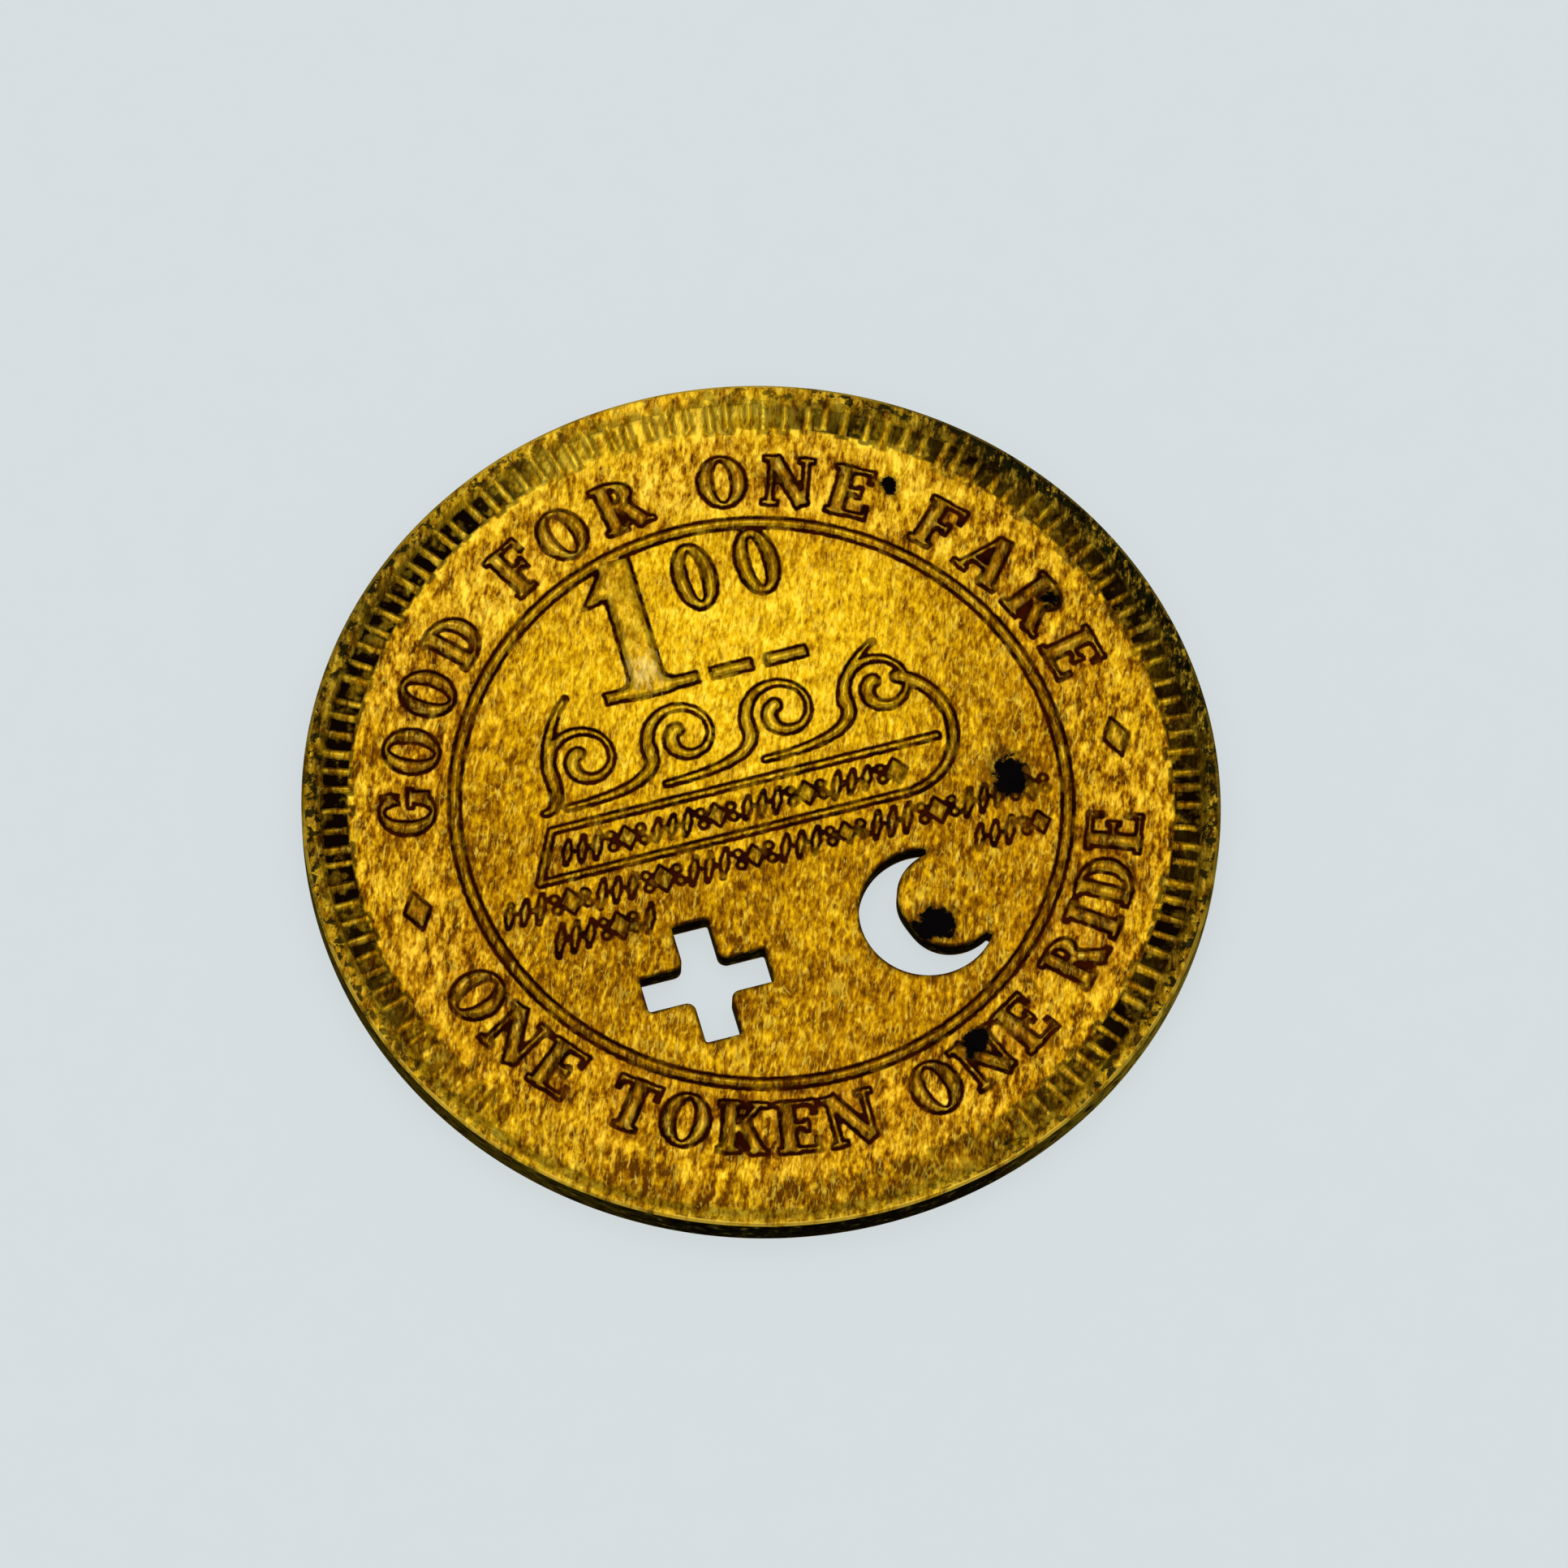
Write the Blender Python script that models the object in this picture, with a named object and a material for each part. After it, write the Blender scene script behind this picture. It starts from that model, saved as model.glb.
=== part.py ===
"""Pierced brass token: one struck disc with raised rims, denticles, legends and two cut-outs.

Frame: metres, +Z out of the obverse, +Y towards the top of the design, origin at the centre of
the disc in the plane of the lower rim, on which the token lies. Names below give millimetres.
"""

import math

import bmesh
import bpy
from mathutils import Matrix, Vector

MM = 0.001

# Driving dimensions, in millimetres.
RADIUS = 17.5
THICKNESS = 1.4
RIM_WIDTH = 0.75
RIM_SLOPE = 0.15
EDGE_BEVEL = 0.12
FIELD_SINK = 0.22
ROOT_DEPTH = 0.15

SIDES = 66
TOOTH_COUNT = 132
TOOTH_INNER_RADIUS = 15.65
TOOTH_WIDTH = 0.40
TOOTH_RISE = 0.17

RING_INNER_RADIUS = 11.45
RING_OUTER_RADIUS = 11.9
RING_RISE = 0.15

LETTER_HEIGHT = 2.05
LETTER_BASE_RADIUS = 12.45
LETTER_RISE = 0.20
TOP_WORDS = "GOOD FOR ONE FARE"
TOP_ARC = (172.5, 7.5)
BOTTOM_WORDS = "ONE TOKEN ONE RIDE"
BOTTOM_ARC = (197.0, 343.0)
DIAMOND_X = 13.8
DIAMOND_Y = -1.0
DIAMOND_HALF_WIDTH = 0.5
DIAMOND_HALF_HEIGHT = 0.8

NUMERAL_RISE = 0.20
ONE_STEM = (-3.5, -2.2)
ONE_BASE = 5.38
ONE_TOP = 11.2
ONE_FOOT_REACH = (1.1, 1.25)
ONE_FOOT_HEIGHT = 0.46
ONE_BRACKET = (0.2, 0.56, 0.8)
ZERO_CENTRES = ((0.06, 9.7), (2.54, 9.7))
ZERO_HALF_SIZE = (0.8, 1.38)
ZERO_STROKE = (0.52, 0.3)
DASH_CENTRES = ((0.39, 5.6), (2.55, 5.6))
DASH_LENGTH = 1.6
DASH_WIDTH = 0.45

SCROLL_RISE = 0.17
CURL_CENTRES = ((-6.0, 3.35), (-2.1, 3.35), (1.8, 3.35), (5.7, 3.35))
CURL_RADIUS = 1.5
CURL_EYE_RADIUS = 0.42
CURL_START = 195
CURL_TURN = 430
CURL_STROKE = 0.5
CURL_TIP_SHARE = 0.4
CURL_DROP = 1.75
CURL_LEADS = (2.1, 5.1, 5.1, 5.1)
TENDRILS = (((-7.5, 3.3), (-7.3, 4.9), (-6.1, 6.05)), ((4.15, 3.1), (4.3, 4.4), (5.9, 5.3)))
TENDRIL_WIDTH = 0.34
BANNER_LINE = 0.24
BANNER_LEFT = (-9.05, -1.15)
BANNER_TOP_LEFT = (-8.05, 0.85)
BANNER_TOP_RIGHT = (7.2, 0.85)
BANNER_BOTTOM_RIGHT = (5.5, -1.15)
SWEEP_RADIUS = 2.5
SWEEP_TURN = 156
SWEEP_WIDENING = 0.24

PLUS_CENTRE = (-4.0, -6.6)
PLUS_HALF_SIZE = 2.46
PLUS_STROKE = 1.42
PLUS_FILLET = 0.35
CRESCENT_CENTRE = (4.85, -6.08)
CRESCENT_RADIUS = 2.62
CRESCENT_WIDTH = 1.75
CRESCENT_TILT = 20
CRESCENT_REACH = 124
CRESCENT_TIP = 0.25

REVERSE_ONE_SCALE = 1.15
REVERSE_ONE_Y = 3.0

BRASS = (0.62, 0.42, 0.08, 1.0)
BRASS_ROUGHNESS = 0.38

# Letters, drawn in a box one unit high. A bar is (x0, y0, x1, y1, width). A bowl is
# (centre x, centre y, x radius, y radius, first angle, last angle, side width, top width).
STEM = 0.27
HAIR = 0.11
SERIF = 0.085


def serif(left, right, height):
    """A flat serif from left to right at one end of a stem."""
    return (left, height, right, height, SERIF)


FOOT = SERIF / 2
HEAD = 1 - SERIF / 2
LETTERS = {
    "A": (1.00, [(0.15, 0.02, 0.47, 0.97, HAIR), (0.51, 0.99, 0.80, 0.01, STEM),
                 (0.25, 0.32, 0.70, 0.32, SERIF), serif(0.0, 0.31, FOOT), serif(0.62, 1.0, FOOT)], []),
    "D": (0.92, [(0.24, 0, 0.24, 1, STEM), serif(0.03, 0.36, HEAD), serif(0.03, 0.36, FOOT)],
          [(0.34, 0.5, 0.55, 0.5, -90, 90, STEM, SERIF)]),
    "E": (0.80, [(0.24, 0, 0.24, 1, STEM), serif(0.03, 0.75, HEAD), serif(0.03, 0.78, FOOT),
                 (0.74, 0.74, 0.74, 1, 0.07), (0.77, 0, 0.77, 0.27, 0.07),
                 (0.3, 0.52, 0.60, 0.52, SERIF), (0.58, 0.40, 0.58, 0.64, 0.07)], []),
    "F": (0.78, [(0.24, 0, 0.24, 1, STEM), serif(0.03, 0.75, HEAD), serif(0.03, 0.47, FOOT),
                 (0.74, 0.72, 0.74, 1, 0.07), (0.3, 0.50, 0.60, 0.50, SERIF),
                 (0.58, 0.38, 0.58, 0.62, 0.07)], []),
    "G": (0.96, [(0.77, 0.10, 0.77, 0.44, 0.24), serif(0.56, 0.96, 0.44), (0.80, 0.68, 0.80, 0.98, 0.07)],
          [(0.48, 0.5, 0.46, 0.52, 40, 320, STEM, SERIF)]),
    "I": (0.50, [(0.25, 0, 0.25, 1, STEM), serif(0.02, 0.48, HEAD), serif(0.02, 0.48, FOOT)], []),
    "K": (0.96, [(0.24, 0, 0.24, 1, STEM), serif(0.03, 0.45, HEAD), serif(0.03, 0.45, FOOT),
                 (0.33, 0.38, 0.76, 0.96, HAIR), (0.47, 0.60, 0.79, 0.03, 0.25),
                 serif(0.60, 0.92, HEAD), serif(0.62, 0.98, FOOT)], []),
    "N": (0.98, [(0.17, 0, 0.17, 0.95, HAIR), (0.82, 0.05, 0.82, 1, HAIR), (0.19, 0.97, 0.79, 0.03, 0.25),
                 serif(0.0, 0.26, HEAD), serif(0.02, 0.32, FOOT), serif(0.67, 0.97, HEAD)], []),
    "O": (0.92, [], [(0.46, 0.5, 0.45, 0.52, 0, 360, STEM, SERIF)]),
    "R": (0.98, [(0.24, 0, 0.24, 1, STEM), serif(0.03, 0.40, HEAD), serif(0.03, 0.45, FOOT),
                 (0.3, 0.52, 0.42, 0.52, SERIF), (0.50, 0.53, 0.80, 0.03, 0.25), serif(0.64, 0.99, FOOT)],
          [(0.38, 0.74, 0.40, 0.26, -90, 90, 0.25, SERIF)]),
    "T": (0.86, [(0.43, 0, 0.43, 1, STEM), serif(0.03, 0.83, HEAD), serif(0.21, 0.65, FOOT),
                 (0.06, 0.74, 0.06, 1, 0.07), (0.80, 0.74, 0.80, 1, 0.07)], []),
}
WORD_SPACE = 0.62
LETTER_GAP = 0.12


def remove_everything():
    """Empty the scene."""
    for old in list(bpy.data.objects):
        bpy.data.objects.remove(old, do_unlink=True)


def brass_material():
    """Worn yellow brass."""
    material = bpy.data.materials.new("brass")
    material.use_nodes = True
    shader = material.node_tree.nodes["Principled BSDF"]
    shader.inputs["Base Color"].default_value = BRASS
    shader.inputs["Metallic"].default_value = 1.0
    shader.inputs["Roughness"].default_value = BRASS_ROUGHNESS
    return material


def add_object(name, bm):
    """Make an object from a bmesh whose coordinates are in millimetres."""
    bmesh.ops.recalc_face_normals(bm, faces=bm.faces)
    bmesh.ops.scale(bm, vec=(MM, MM, MM), verts=bm.verts)
    mesh = bpy.data.meshes.new(name)
    bm.to_mesh(mesh)
    bm.free()
    item = bpy.data.objects.new(name, mesh)
    bpy.context.scene.collection.objects.link(item)
    return item


def add_helper(name, bm):
    """Make an object that only shapes another one."""
    helper = add_object(name, bm)
    helper.hide_render = True
    helper.display_type = "WIRE"
    return helper


def combine(target, helper, operation):
    """Join a helper to the target, or cut it away."""
    step = target.modifiers.new(helper.name, "BOOLEAN")
    step.operation = operation
    step.object = helper
    step.use_self = operation == "UNION"


def turn(bm, profile, sides):
    """Turn a list of (radius, height) about Z, with a flat face at each end."""
    loops = []
    for radius, height in profile:
        angles = [math.tau * (i + 0.5) / sides for i in range(sides)]
        loops.append([bm.verts.new((radius * math.cos(a), radius * math.sin(a), height)) for a in angles])
    for lower, upper in zip(loops, loops[1:]):
        for i in range(sides):
            j = (i + 1) % sides
            bm.faces.new((lower[i], lower[j], upper[j], upper[i]))
    bm.faces.new(reversed(loops[0]))
    bm.faces.new(loops[-1])


def raise_faces(bm, faces, height):
    """Extrude plane faces upwards into a prism."""
    result = bmesh.ops.extrude_face_region(bm, geom=faces)
    top = [v for v in result["geom"] if isinstance(v, bmesh.types.BMVert)]
    bmesh.ops.translate(bm, vec=(0, 0, height), verts=top)


def prism(bm, outline, level, place=Matrix()):
    """A prism on a plane outline. level is its lowest and highest height."""
    corners = [place @ Vector((x, y, 0)) for x, y in outline]
    face = bm.faces.new([bm.verts.new((c.x, c.y, level[0])) for c in corners])
    raise_faces(bm, [face], level[1] - level[0])


def strip(bm, outer, inner, level, place=Matrix(), closed=False):
    """A prism between two lines of points of equal count."""
    rows = [[place @ Vector((x, y, 0)) for x, y in line] for line in (outer, inner)]
    rows = [[bm.verts.new((p.x, p.y, level[0])) for p in row] for row in rows]
    count = len(rows[0])
    last = count if closed else count - 1
    faces = []
    for i in range(last):
        j = (i + 1) % count
        faces.append(bm.faces.new((rows[0][i], rows[0][j], rows[1][j], rows[1][i])))
    raise_faces(bm, faces, level[1] - level[0])


def bar(bm, stroke, level, place=Matrix()):
    """A straight stroke of even width."""
    x0, y0, x1, y1, width = stroke
    length = math.hypot(x1 - x0, y1 - y0)
    side_x = (y0 - y1) / length * width / 2
    side_y = (x1 - x0) / length * width / 2
    outline = [(x0 - side_x, y0 - side_y), (x1 - side_x, y1 - side_y),
               (x1 + side_x, y1 + side_y), (x0 + side_x, y0 + side_y)]
    prism(bm, outline, level, place)


def bowl(bm, stroke, level, place=Matrix(), step=24):
    """A curved stroke between two ellipses."""
    x, y, x_radius, y_radius, first, last, side, top = stroke
    closed = last - first == 360
    count = round((last - first) / step) + (0 if closed else 1)
    angles = [math.radians(first + (last - first) * i / (count - (0 if closed else 1))) for i in range(count)]
    outer = [(x + x_radius * math.cos(a), y + y_radius * math.sin(a)) for a in angles]
    inner = [(x + (x_radius - side) * math.cos(a), y + (y_radius - top) * math.sin(a)) for a in angles]
    strip(bm, outer, inner, level, place, closed)


def letter(bm, name, level, place):
    """One capital letter."""
    for stroke in LETTERS[name][1]:
        bar(bm, stroke, level, place)
    for stroke in LETTERS[name][2]:
        bowl(bm, stroke, level, place)


def word_widths(words):
    """Each character of the words, with its width in letter heights."""
    return [(c, WORD_SPACE if c == " " else LETTERS[c][0] + LETTER_GAP) for c in words]


def legend(bm, words, arc, level, inward):
    """Letters along an arc. Their feet point inwards, or outwards on the lower legend."""
    widths = word_widths(words)
    total = sum(width for _, width in widths)
    foot = LETTER_BASE_RADIUS + (0 if inward else LETTER_HEIGHT)
    walked = 0.0
    for name, width in widths:
        middle = (walked + width / 2) / total
        walked += width
        if name == " ":
            continue
        angle = math.radians(arc[0] + (arc[1] - arc[0]) * middle)
        turn_by = angle - math.pi / 2 if inward else angle + math.pi / 2
        place = (Matrix.Translation((foot * math.cos(angle), foot * math.sin(angle), 0))
                 @ Matrix.Rotation(turn_by, 4, "Z") @ Matrix.Scale(LETTER_HEIGHT, 4)
                 @ Matrix.Translation((-LETTERS[name][0] / 2, 0, 0)))
        letter(bm, name, level, place)


def diamonds(bm, level):
    """A diamond between the two legends on each side."""
    y = DIAMOND_Y
    for x in (-DIAMOND_X, DIAMOND_X):
        prism(bm, [(x + DIAMOND_HALF_WIDTH, y), (x, y + DIAMOND_HALF_HEIGHT),
                   (x - DIAMOND_HALF_WIDTH, y), (x, y - DIAMOND_HALF_HEIGHT)], level)


def teeth(bm, level):
    """The ring of radial denticles, which run into the rim."""
    outer = RADIUS - RIM_WIDTH + RIM_SLOPE
    for i in range(TOOTH_COUNT):
        place = Matrix.Rotation(math.tau * i / TOOTH_COUNT, 4, "Z")
        bar(bm, (TOOTH_INNER_RADIUS, 0, outer, 0, TOOTH_WIDTH), level, place)


def ring(bm, level):
    """The thin raised ring inside the legends."""
    width = RING_OUTER_RADIUS - RING_INNER_RADIUS
    bowl(bm, (0, 0, RING_OUTER_RADIUS, RING_OUTER_RADIUS, 0, 360, width, width), level, step=5)


def numeral_one(bm, level, place=Matrix()):
    """The tall figure 1, with its flag and foot."""
    left, right = ONE_STEM
    heel, toe = left - ONE_FOOT_REACH[0], right + ONE_FOOT_REACH[1]
    foot = ONE_BASE + ONE_FOOT_HEIGHT
    inset, bracket, neck = ONE_BRACKET[0], ONE_BASE + ONE_BRACKET[1], ONE_BASE + ONE_BRACKET[2]
    flag = [(left + 0.3, ONE_TOP), (left - 0.25, ONE_TOP - 0.95), (left - 0.85, ONE_TOP - 1.75),
            (left - 0.35, ONE_TOP - 1.75), (left, ONE_TOP - 1.45)]
    outline = [(heel, ONE_BASE), (toe, ONE_BASE), (toe, foot), (right + inset, bracket), (right, neck),
               (right, ONE_TOP), *flag, (left, neck), (left - inset, bracket), (heel, foot)]
    prism(bm, outline, level, place)


def small_zeros(bm, level):
    """Two raised zeros, with a short bar far below each."""
    for x, y in ZERO_CENTRES:
        bowl(bm, (x, y, *ZERO_HALF_SIZE, 0, 360, *ZERO_STROKE), level)
    for x, y in DASH_CENTRES:
        bar(bm, (x - DASH_LENGTH / 2, y, x + DASH_LENGTH / 2, y, DASH_WIDTH), level)


def curl(centre, lead):
    """Middle line and widths of one curl: it rises from the left, rolls over and winds into its eye."""
    x, y = centre
    start = (x - lead, y - CURL_DROP)
    first = math.radians(CURL_START)
    foot = (x + CURL_RADIUS * math.cos(first), y + CURL_RADIUS * math.sin(first))
    bend = (foot[0] + 0.1, start[1])
    rise = 7
    path = [arc_between(start, bend, foot, i / rise) for i in range(rise)]
    widths = [CURL_STROKE * (CURL_TIP_SHARE + (1 - CURL_TIP_SHARE) * i / rise) for i in range(rise)]
    turns = 20
    for i in range(turns + 1):
        t = i / turns
        a = first - math.radians(CURL_TURN) * t
        radius = CURL_RADIUS + (CURL_EYE_RADIUS - CURL_RADIUS) * t
        path.append((x + radius * math.cos(a), y + radius * math.sin(a)))
        # The stroke is thinnest over the roll and full again at the eye.
        widths.append(CURL_STROKE * (1 - (1 - CURL_TIP_SHARE) * math.sin(math.pi * min(t * 1.25, 1))))
    return path, widths


def arc_between(start, bend, end, t):
    """A point on the curve from start to end that leans towards bend."""
    u = 1 - t
    return tuple(u * u * a + 2 * u * t * b + t * t * c for a, b, c in zip(start, bend, end))


def ribbon(bm, path, widths, level):
    """A stroke of varying width along a line of points."""
    left, right = [], []
    for i, (x, y) in enumerate(path):
        before = Vector(path[max(i - 1, 0)])
        after = Vector(path[min(i + 1, len(path) - 1)])
        along = (after - before).normalized()
        left.append((x - along.y * widths[i] / 2, y + along.x * widths[i] / 2))
        right.append((x + along.y * widths[i] / 2, y - along.x * widths[i] / 2))
    strip(bm, left, right, level)


def scroll(bm, level):
    """The running pen scroll above the banner, with two tendrils."""
    for centre, lead in zip(CURL_CENTRES, CURL_LEADS):
        ribbon(bm, *curl(centre, lead), level)
    for start, bend, end in TENDRILS:
        points = 7
        path = [arc_between(start, bend, end, i / (points - 1)) for i in range(points)]
        ribbon(bm, path, [TENDRIL_WIDTH] * points, level)


def banner(bm, level):
    """The outline of the banner under the scroll, whose right end sweeps up."""
    for start, end in ((BANNER_TOP_LEFT, BANNER_TOP_RIGHT), (BANNER_LEFT, BANNER_BOTTOM_RIGHT),
                       (BANNER_LEFT, BANNER_TOP_LEFT)):
        bar(bm, (*start, *end, BANNER_LINE), level)
    x, y = BANNER_BOTTOM_RIGHT
    steps = 12
    sweep, widths = [], []
    for i in range(steps + 1):
        a = math.radians(SWEEP_TURN) * i / steps
        sweep.append((x - 0.1 + SWEEP_RADIUS * math.sin(a), y + SWEEP_RADIUS * (1 - math.cos(a))))
        widths.append(BANNER_LINE + SWEEP_WIDENING * i / steps)
    ribbon(bm, sweep, widths, level)


def plus_cutter():
    """The square-armed cut-out, with rounded inner corners."""
    arm = PLUS_STROKE / 2
    centre = arm + PLUS_FILLET
    quarter = [Vector((PLUS_HALF_SIZE, -arm)), Vector((PLUS_HALF_SIZE, arm))]
    for i in range(4):
        a = math.radians(270 - 30 * i)
        quarter.append(Vector((centre + PLUS_FILLET * math.cos(a), centre + PLUS_FILLET * math.sin(a))))
    turns = [Matrix.Rotation(math.tau * i / 4, 2) for i in range(4)]
    outline = [Vector(PLUS_CENTRE) + turn_by @ point for turn_by in turns for point in quarter]
    bm = bmesh.new()
    prism(bm, outline, (-THICKNESS, 2 * THICKNESS))
    return add_helper("plus_cutter", bm)


def crescent_cutter():
    """The moon-shaped cut-out: a curved band, wide in the middle, with blunt tips."""
    x, y = CRESCENT_CENTRE
    steps = 24
    outer, inner = [], []
    for i in range(steps + 1):
        t = i / steps
        a = math.radians(180 + CRESCENT_TILT + CRESCENT_REACH * (2 * t - 1))
        width = CRESCENT_TIP + (CRESCENT_WIDTH - CRESCENT_TIP) * math.sin(math.pi * t)
        for line, radius in ((outer, CRESCENT_RADIUS), (inner, CRESCENT_RADIUS - width)):
            line.append((x + radius * math.cos(a), y + radius * math.sin(a)))
    bm = bmesh.new()
    strip(bm, outer, inner, (-THICKNESS, 2 * THICKNESS))
    return add_helper("crescent_cutter", bm)


def obverse_levels(rise):
    """Lowest and highest height of relief that stands on the upper field."""
    field = THICKNESS - FIELD_SINK
    return field - ROOT_DEPTH, field + rise


def reverse_levels(rise):
    """Lowest and highest height of relief that stands on the lower field."""
    return FIELD_SINK - rise, FIELD_SINK + ROOT_DEPTH


def make_blank():
    """The turned disc: rims, sunk fields and bevelled edge."""
    rim = RADIUS - RIM_WIDTH
    half = [(rim - RIM_SLOPE, FIELD_SINK), (rim, 0), (RADIUS - EDGE_BEVEL, 0), (RADIUS, EDGE_BEVEL)]
    profile = half + [(radius, THICKNESS - height) for radius, height in reversed(half)]
    bm = bmesh.new()
    turn(bm, profile, SIDES)
    return add_object("token", bm)


def relief(name, levels, shapes):
    """A helper that holds some raised shapes. Each shape is (function, rise)."""
    bm = bmesh.new()
    for draw, rise in shapes:
        draw(bm, levels(rise))
    return add_helper(name, bm)


def obverse_words(bm, level):
    """Both legends."""
    legend(bm, TOP_WORDS, TOP_ARC, level, True)
    legend(bm, BOTTOM_WORDS, BOTTOM_ARC, level, False)


def reverse_one(bm, level):
    """The figure 1 in the middle of the reverse, between the cut-outs' upper ends."""
    middle = (ONE_STEM[0] + ONE_STEM[1]) / 2
    place = (Matrix.Translation((0, REVERSE_ONE_Y, 0)) @ Matrix.Scale(-1, 4, (1, 0, 0))
             @ Matrix.Scale(REVERSE_ONE_SCALE, 4)
             @ Matrix.Translation((-middle, -(ONE_BASE + ONE_TOP) / 2, 0)))
    numeral_one(bm, level, place)


def make_token():
    """The whole token, one solid."""
    token = make_blank()
    token.data.materials.append(brass_material())
    combine(token, relief("obverse_teeth", obverse_levels, [(teeth, TOOTH_RISE)]), "UNION")
    combine(token, relief("reverse_teeth", reverse_levels, [(teeth, TOOTH_RISE)]), "UNION")
    combine(token, relief("legends", obverse_levels, [(obverse_words, LETTER_RISE), (diamonds, LETTER_RISE)]),
            "UNION")
    combine(token, relief("centre", obverse_levels, [(ring, RING_RISE), (numeral_one, NUMERAL_RISE),
                                                     (small_zeros, NUMERAL_RISE), (scroll, SCROLL_RISE),
                                                     (banner, RING_RISE)]), "UNION")
    combine(token, relief("reverse_centre", reverse_levels, [(ring, RING_RISE), (reverse_one, NUMERAL_RISE)]),
            "UNION")
    combine(token, plus_cutter(), "DIFFERENCE")
    combine(token, crescent_cutter(), "DIFFERENCE")
    return token


remove_everything()
make_token()
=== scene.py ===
"""Looks of the pierced brass token: struck relief as real geometry, worn brass, pale table, camera.

Lengths are millimetres in the token's own frame (+Z out of the obverse, +Y to the top of the design)
until the mesh is made. A shape is a function of x and y that gives how far a point lies inside it.
"""

import math

import bpy
import numpy as np
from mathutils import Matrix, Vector
from mathutils.geometry import delaunay_2d_cdt


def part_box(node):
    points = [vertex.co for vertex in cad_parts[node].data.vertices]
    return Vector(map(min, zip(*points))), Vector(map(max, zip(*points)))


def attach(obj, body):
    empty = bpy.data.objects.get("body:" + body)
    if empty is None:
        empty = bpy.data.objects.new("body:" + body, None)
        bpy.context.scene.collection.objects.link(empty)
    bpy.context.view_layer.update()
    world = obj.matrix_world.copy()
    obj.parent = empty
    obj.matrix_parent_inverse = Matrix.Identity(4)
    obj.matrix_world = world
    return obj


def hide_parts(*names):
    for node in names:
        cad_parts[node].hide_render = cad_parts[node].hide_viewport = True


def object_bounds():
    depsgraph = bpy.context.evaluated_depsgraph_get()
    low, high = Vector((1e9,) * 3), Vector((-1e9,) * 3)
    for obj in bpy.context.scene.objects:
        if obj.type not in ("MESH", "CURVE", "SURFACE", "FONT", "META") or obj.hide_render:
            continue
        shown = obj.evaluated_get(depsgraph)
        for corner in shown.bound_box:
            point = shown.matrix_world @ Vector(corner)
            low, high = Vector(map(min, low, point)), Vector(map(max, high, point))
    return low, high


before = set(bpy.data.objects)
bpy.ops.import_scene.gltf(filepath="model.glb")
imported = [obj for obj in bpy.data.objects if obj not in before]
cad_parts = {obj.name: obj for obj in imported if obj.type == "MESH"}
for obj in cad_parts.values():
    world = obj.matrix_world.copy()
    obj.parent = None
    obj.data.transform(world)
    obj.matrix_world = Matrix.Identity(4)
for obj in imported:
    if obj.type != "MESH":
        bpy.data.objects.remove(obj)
cad_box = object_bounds()
token_low, token_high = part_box("token")

MM = 0.001
RADIUS = (token_high[1] - token_low[1]) / 2 / MM
THICKNESS = (token_high[2] - token_low[2]) / MM
SEED = 11

# The disc.
RIM_FOOT = RADIUS - 0.8
RIM_SLOPE = 0.17
WORN_SLOPE = 0.6
EDGE_BEVEL = 0.14
FIELD_SINK = 0.22
EDGE_POINTS = 396
# Heights of the rings of points down the side and down a cut wall, as shares.
SIDE_ROWS = (0.35, 0.65)
WALL_ROWS = (0.25, 0.5, 0.75)

# The relief.
WALL = 0.15
TOOTH_COUNT = 132
TOOTH_INNER = RADIUS - 1.85
TOOTH_WIDTH = 0.37
TOOTH_RISE = 0.17
# Random changes of the denticles: turn, start, width and rise.
TOOTH_TURNS = (-0.15, 0.15)
TOOTH_STARTS = (-0.12, 0.16)
TOOTH_WIDTHS = (0.75, 1.15)
TOOTH_RISES = (0.8, 1.1)
# How much of the denticles is left, by angle from +X in degrees.
TOOTH_KEPT = ((0, 0.75), (40, 0.65), (85, 0.75), (120, 0.85), (140, 1.0), (185, 1.0), (205, 0.6),
              (222, 0.25), (262, 0.2), (285, 0.5), (305, 0.75), (340, 0.8), (360, 0.75))
RING_INNER = 11.48
RING_OUTER = 11.88
RING_RISE = 0.15
LETTER_HEIGHT = 2.05
LETTER_BASE = 12.45
LETTER_RISE = 0.20
TOP_WORDS = "GOOD FOR ONE FARE"
TOP_ARC = (172.5, 7.5)
BOTTOM_WORDS = "ONE TOKEN ONE RIDE"
BOTTOM_ARC = (197.0, 343.0)
WORD_SPACE = 0.62
LETTER_GAP = 0.12
LETTER_REACH = 1.2
BRACKET = 0.12
DIAMOND = (13.8, -1.0, 0.5, 0.8)
NUMERAL_RISE = 0.20
ONE_STEM = (-3.5, -2.2)
ONE_BASE = 5.38
ONE_TOP = 11.2
# The foot of the figure 1: reach to the left and to the right of the stem, and height.
ONE_FOOT = (1.1, 1.25, 0.44)
# The corners of its flag, from the top left corner of the stem.
ONE_FLAG = ((0.5, 0), (-0.05, -0.55), (-0.45, -1.1), (-0.95, -1.75), (-0.35, -1.65), (0.3, -1.45))
ONE_FOOT_FILLET = 0.5
ONE_FLAG_FILLET = 0.15
ZERO_CENTRES = ((0.06, 9.7), (2.54, 9.7))
ZERO_HALF_SIZE = (0.8, 1.38)
ZERO_STROKE = (0.52, 0.3)
DASH_CENTRES = ((0.39, 5.6), (2.55, 5.6))
DASH_LENGTH = 1.6
DASH_WIDTH = 0.45
SCROLL_RISE = 0.17
CURL_CENTRES = ((-6.0, 3.35), (-2.1, 3.35), (1.8, 3.35), (5.7, 3.35))
CURL_RADIUS = 1.5
CURL_EYE_RADIUS = 0.42
CURL_TURN = 430
CURL_STROKE = 0.5
CURL_DROP = 1.75
CURL_LEADS = (2.1, 5.1, 5.1, 5.1)
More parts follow.
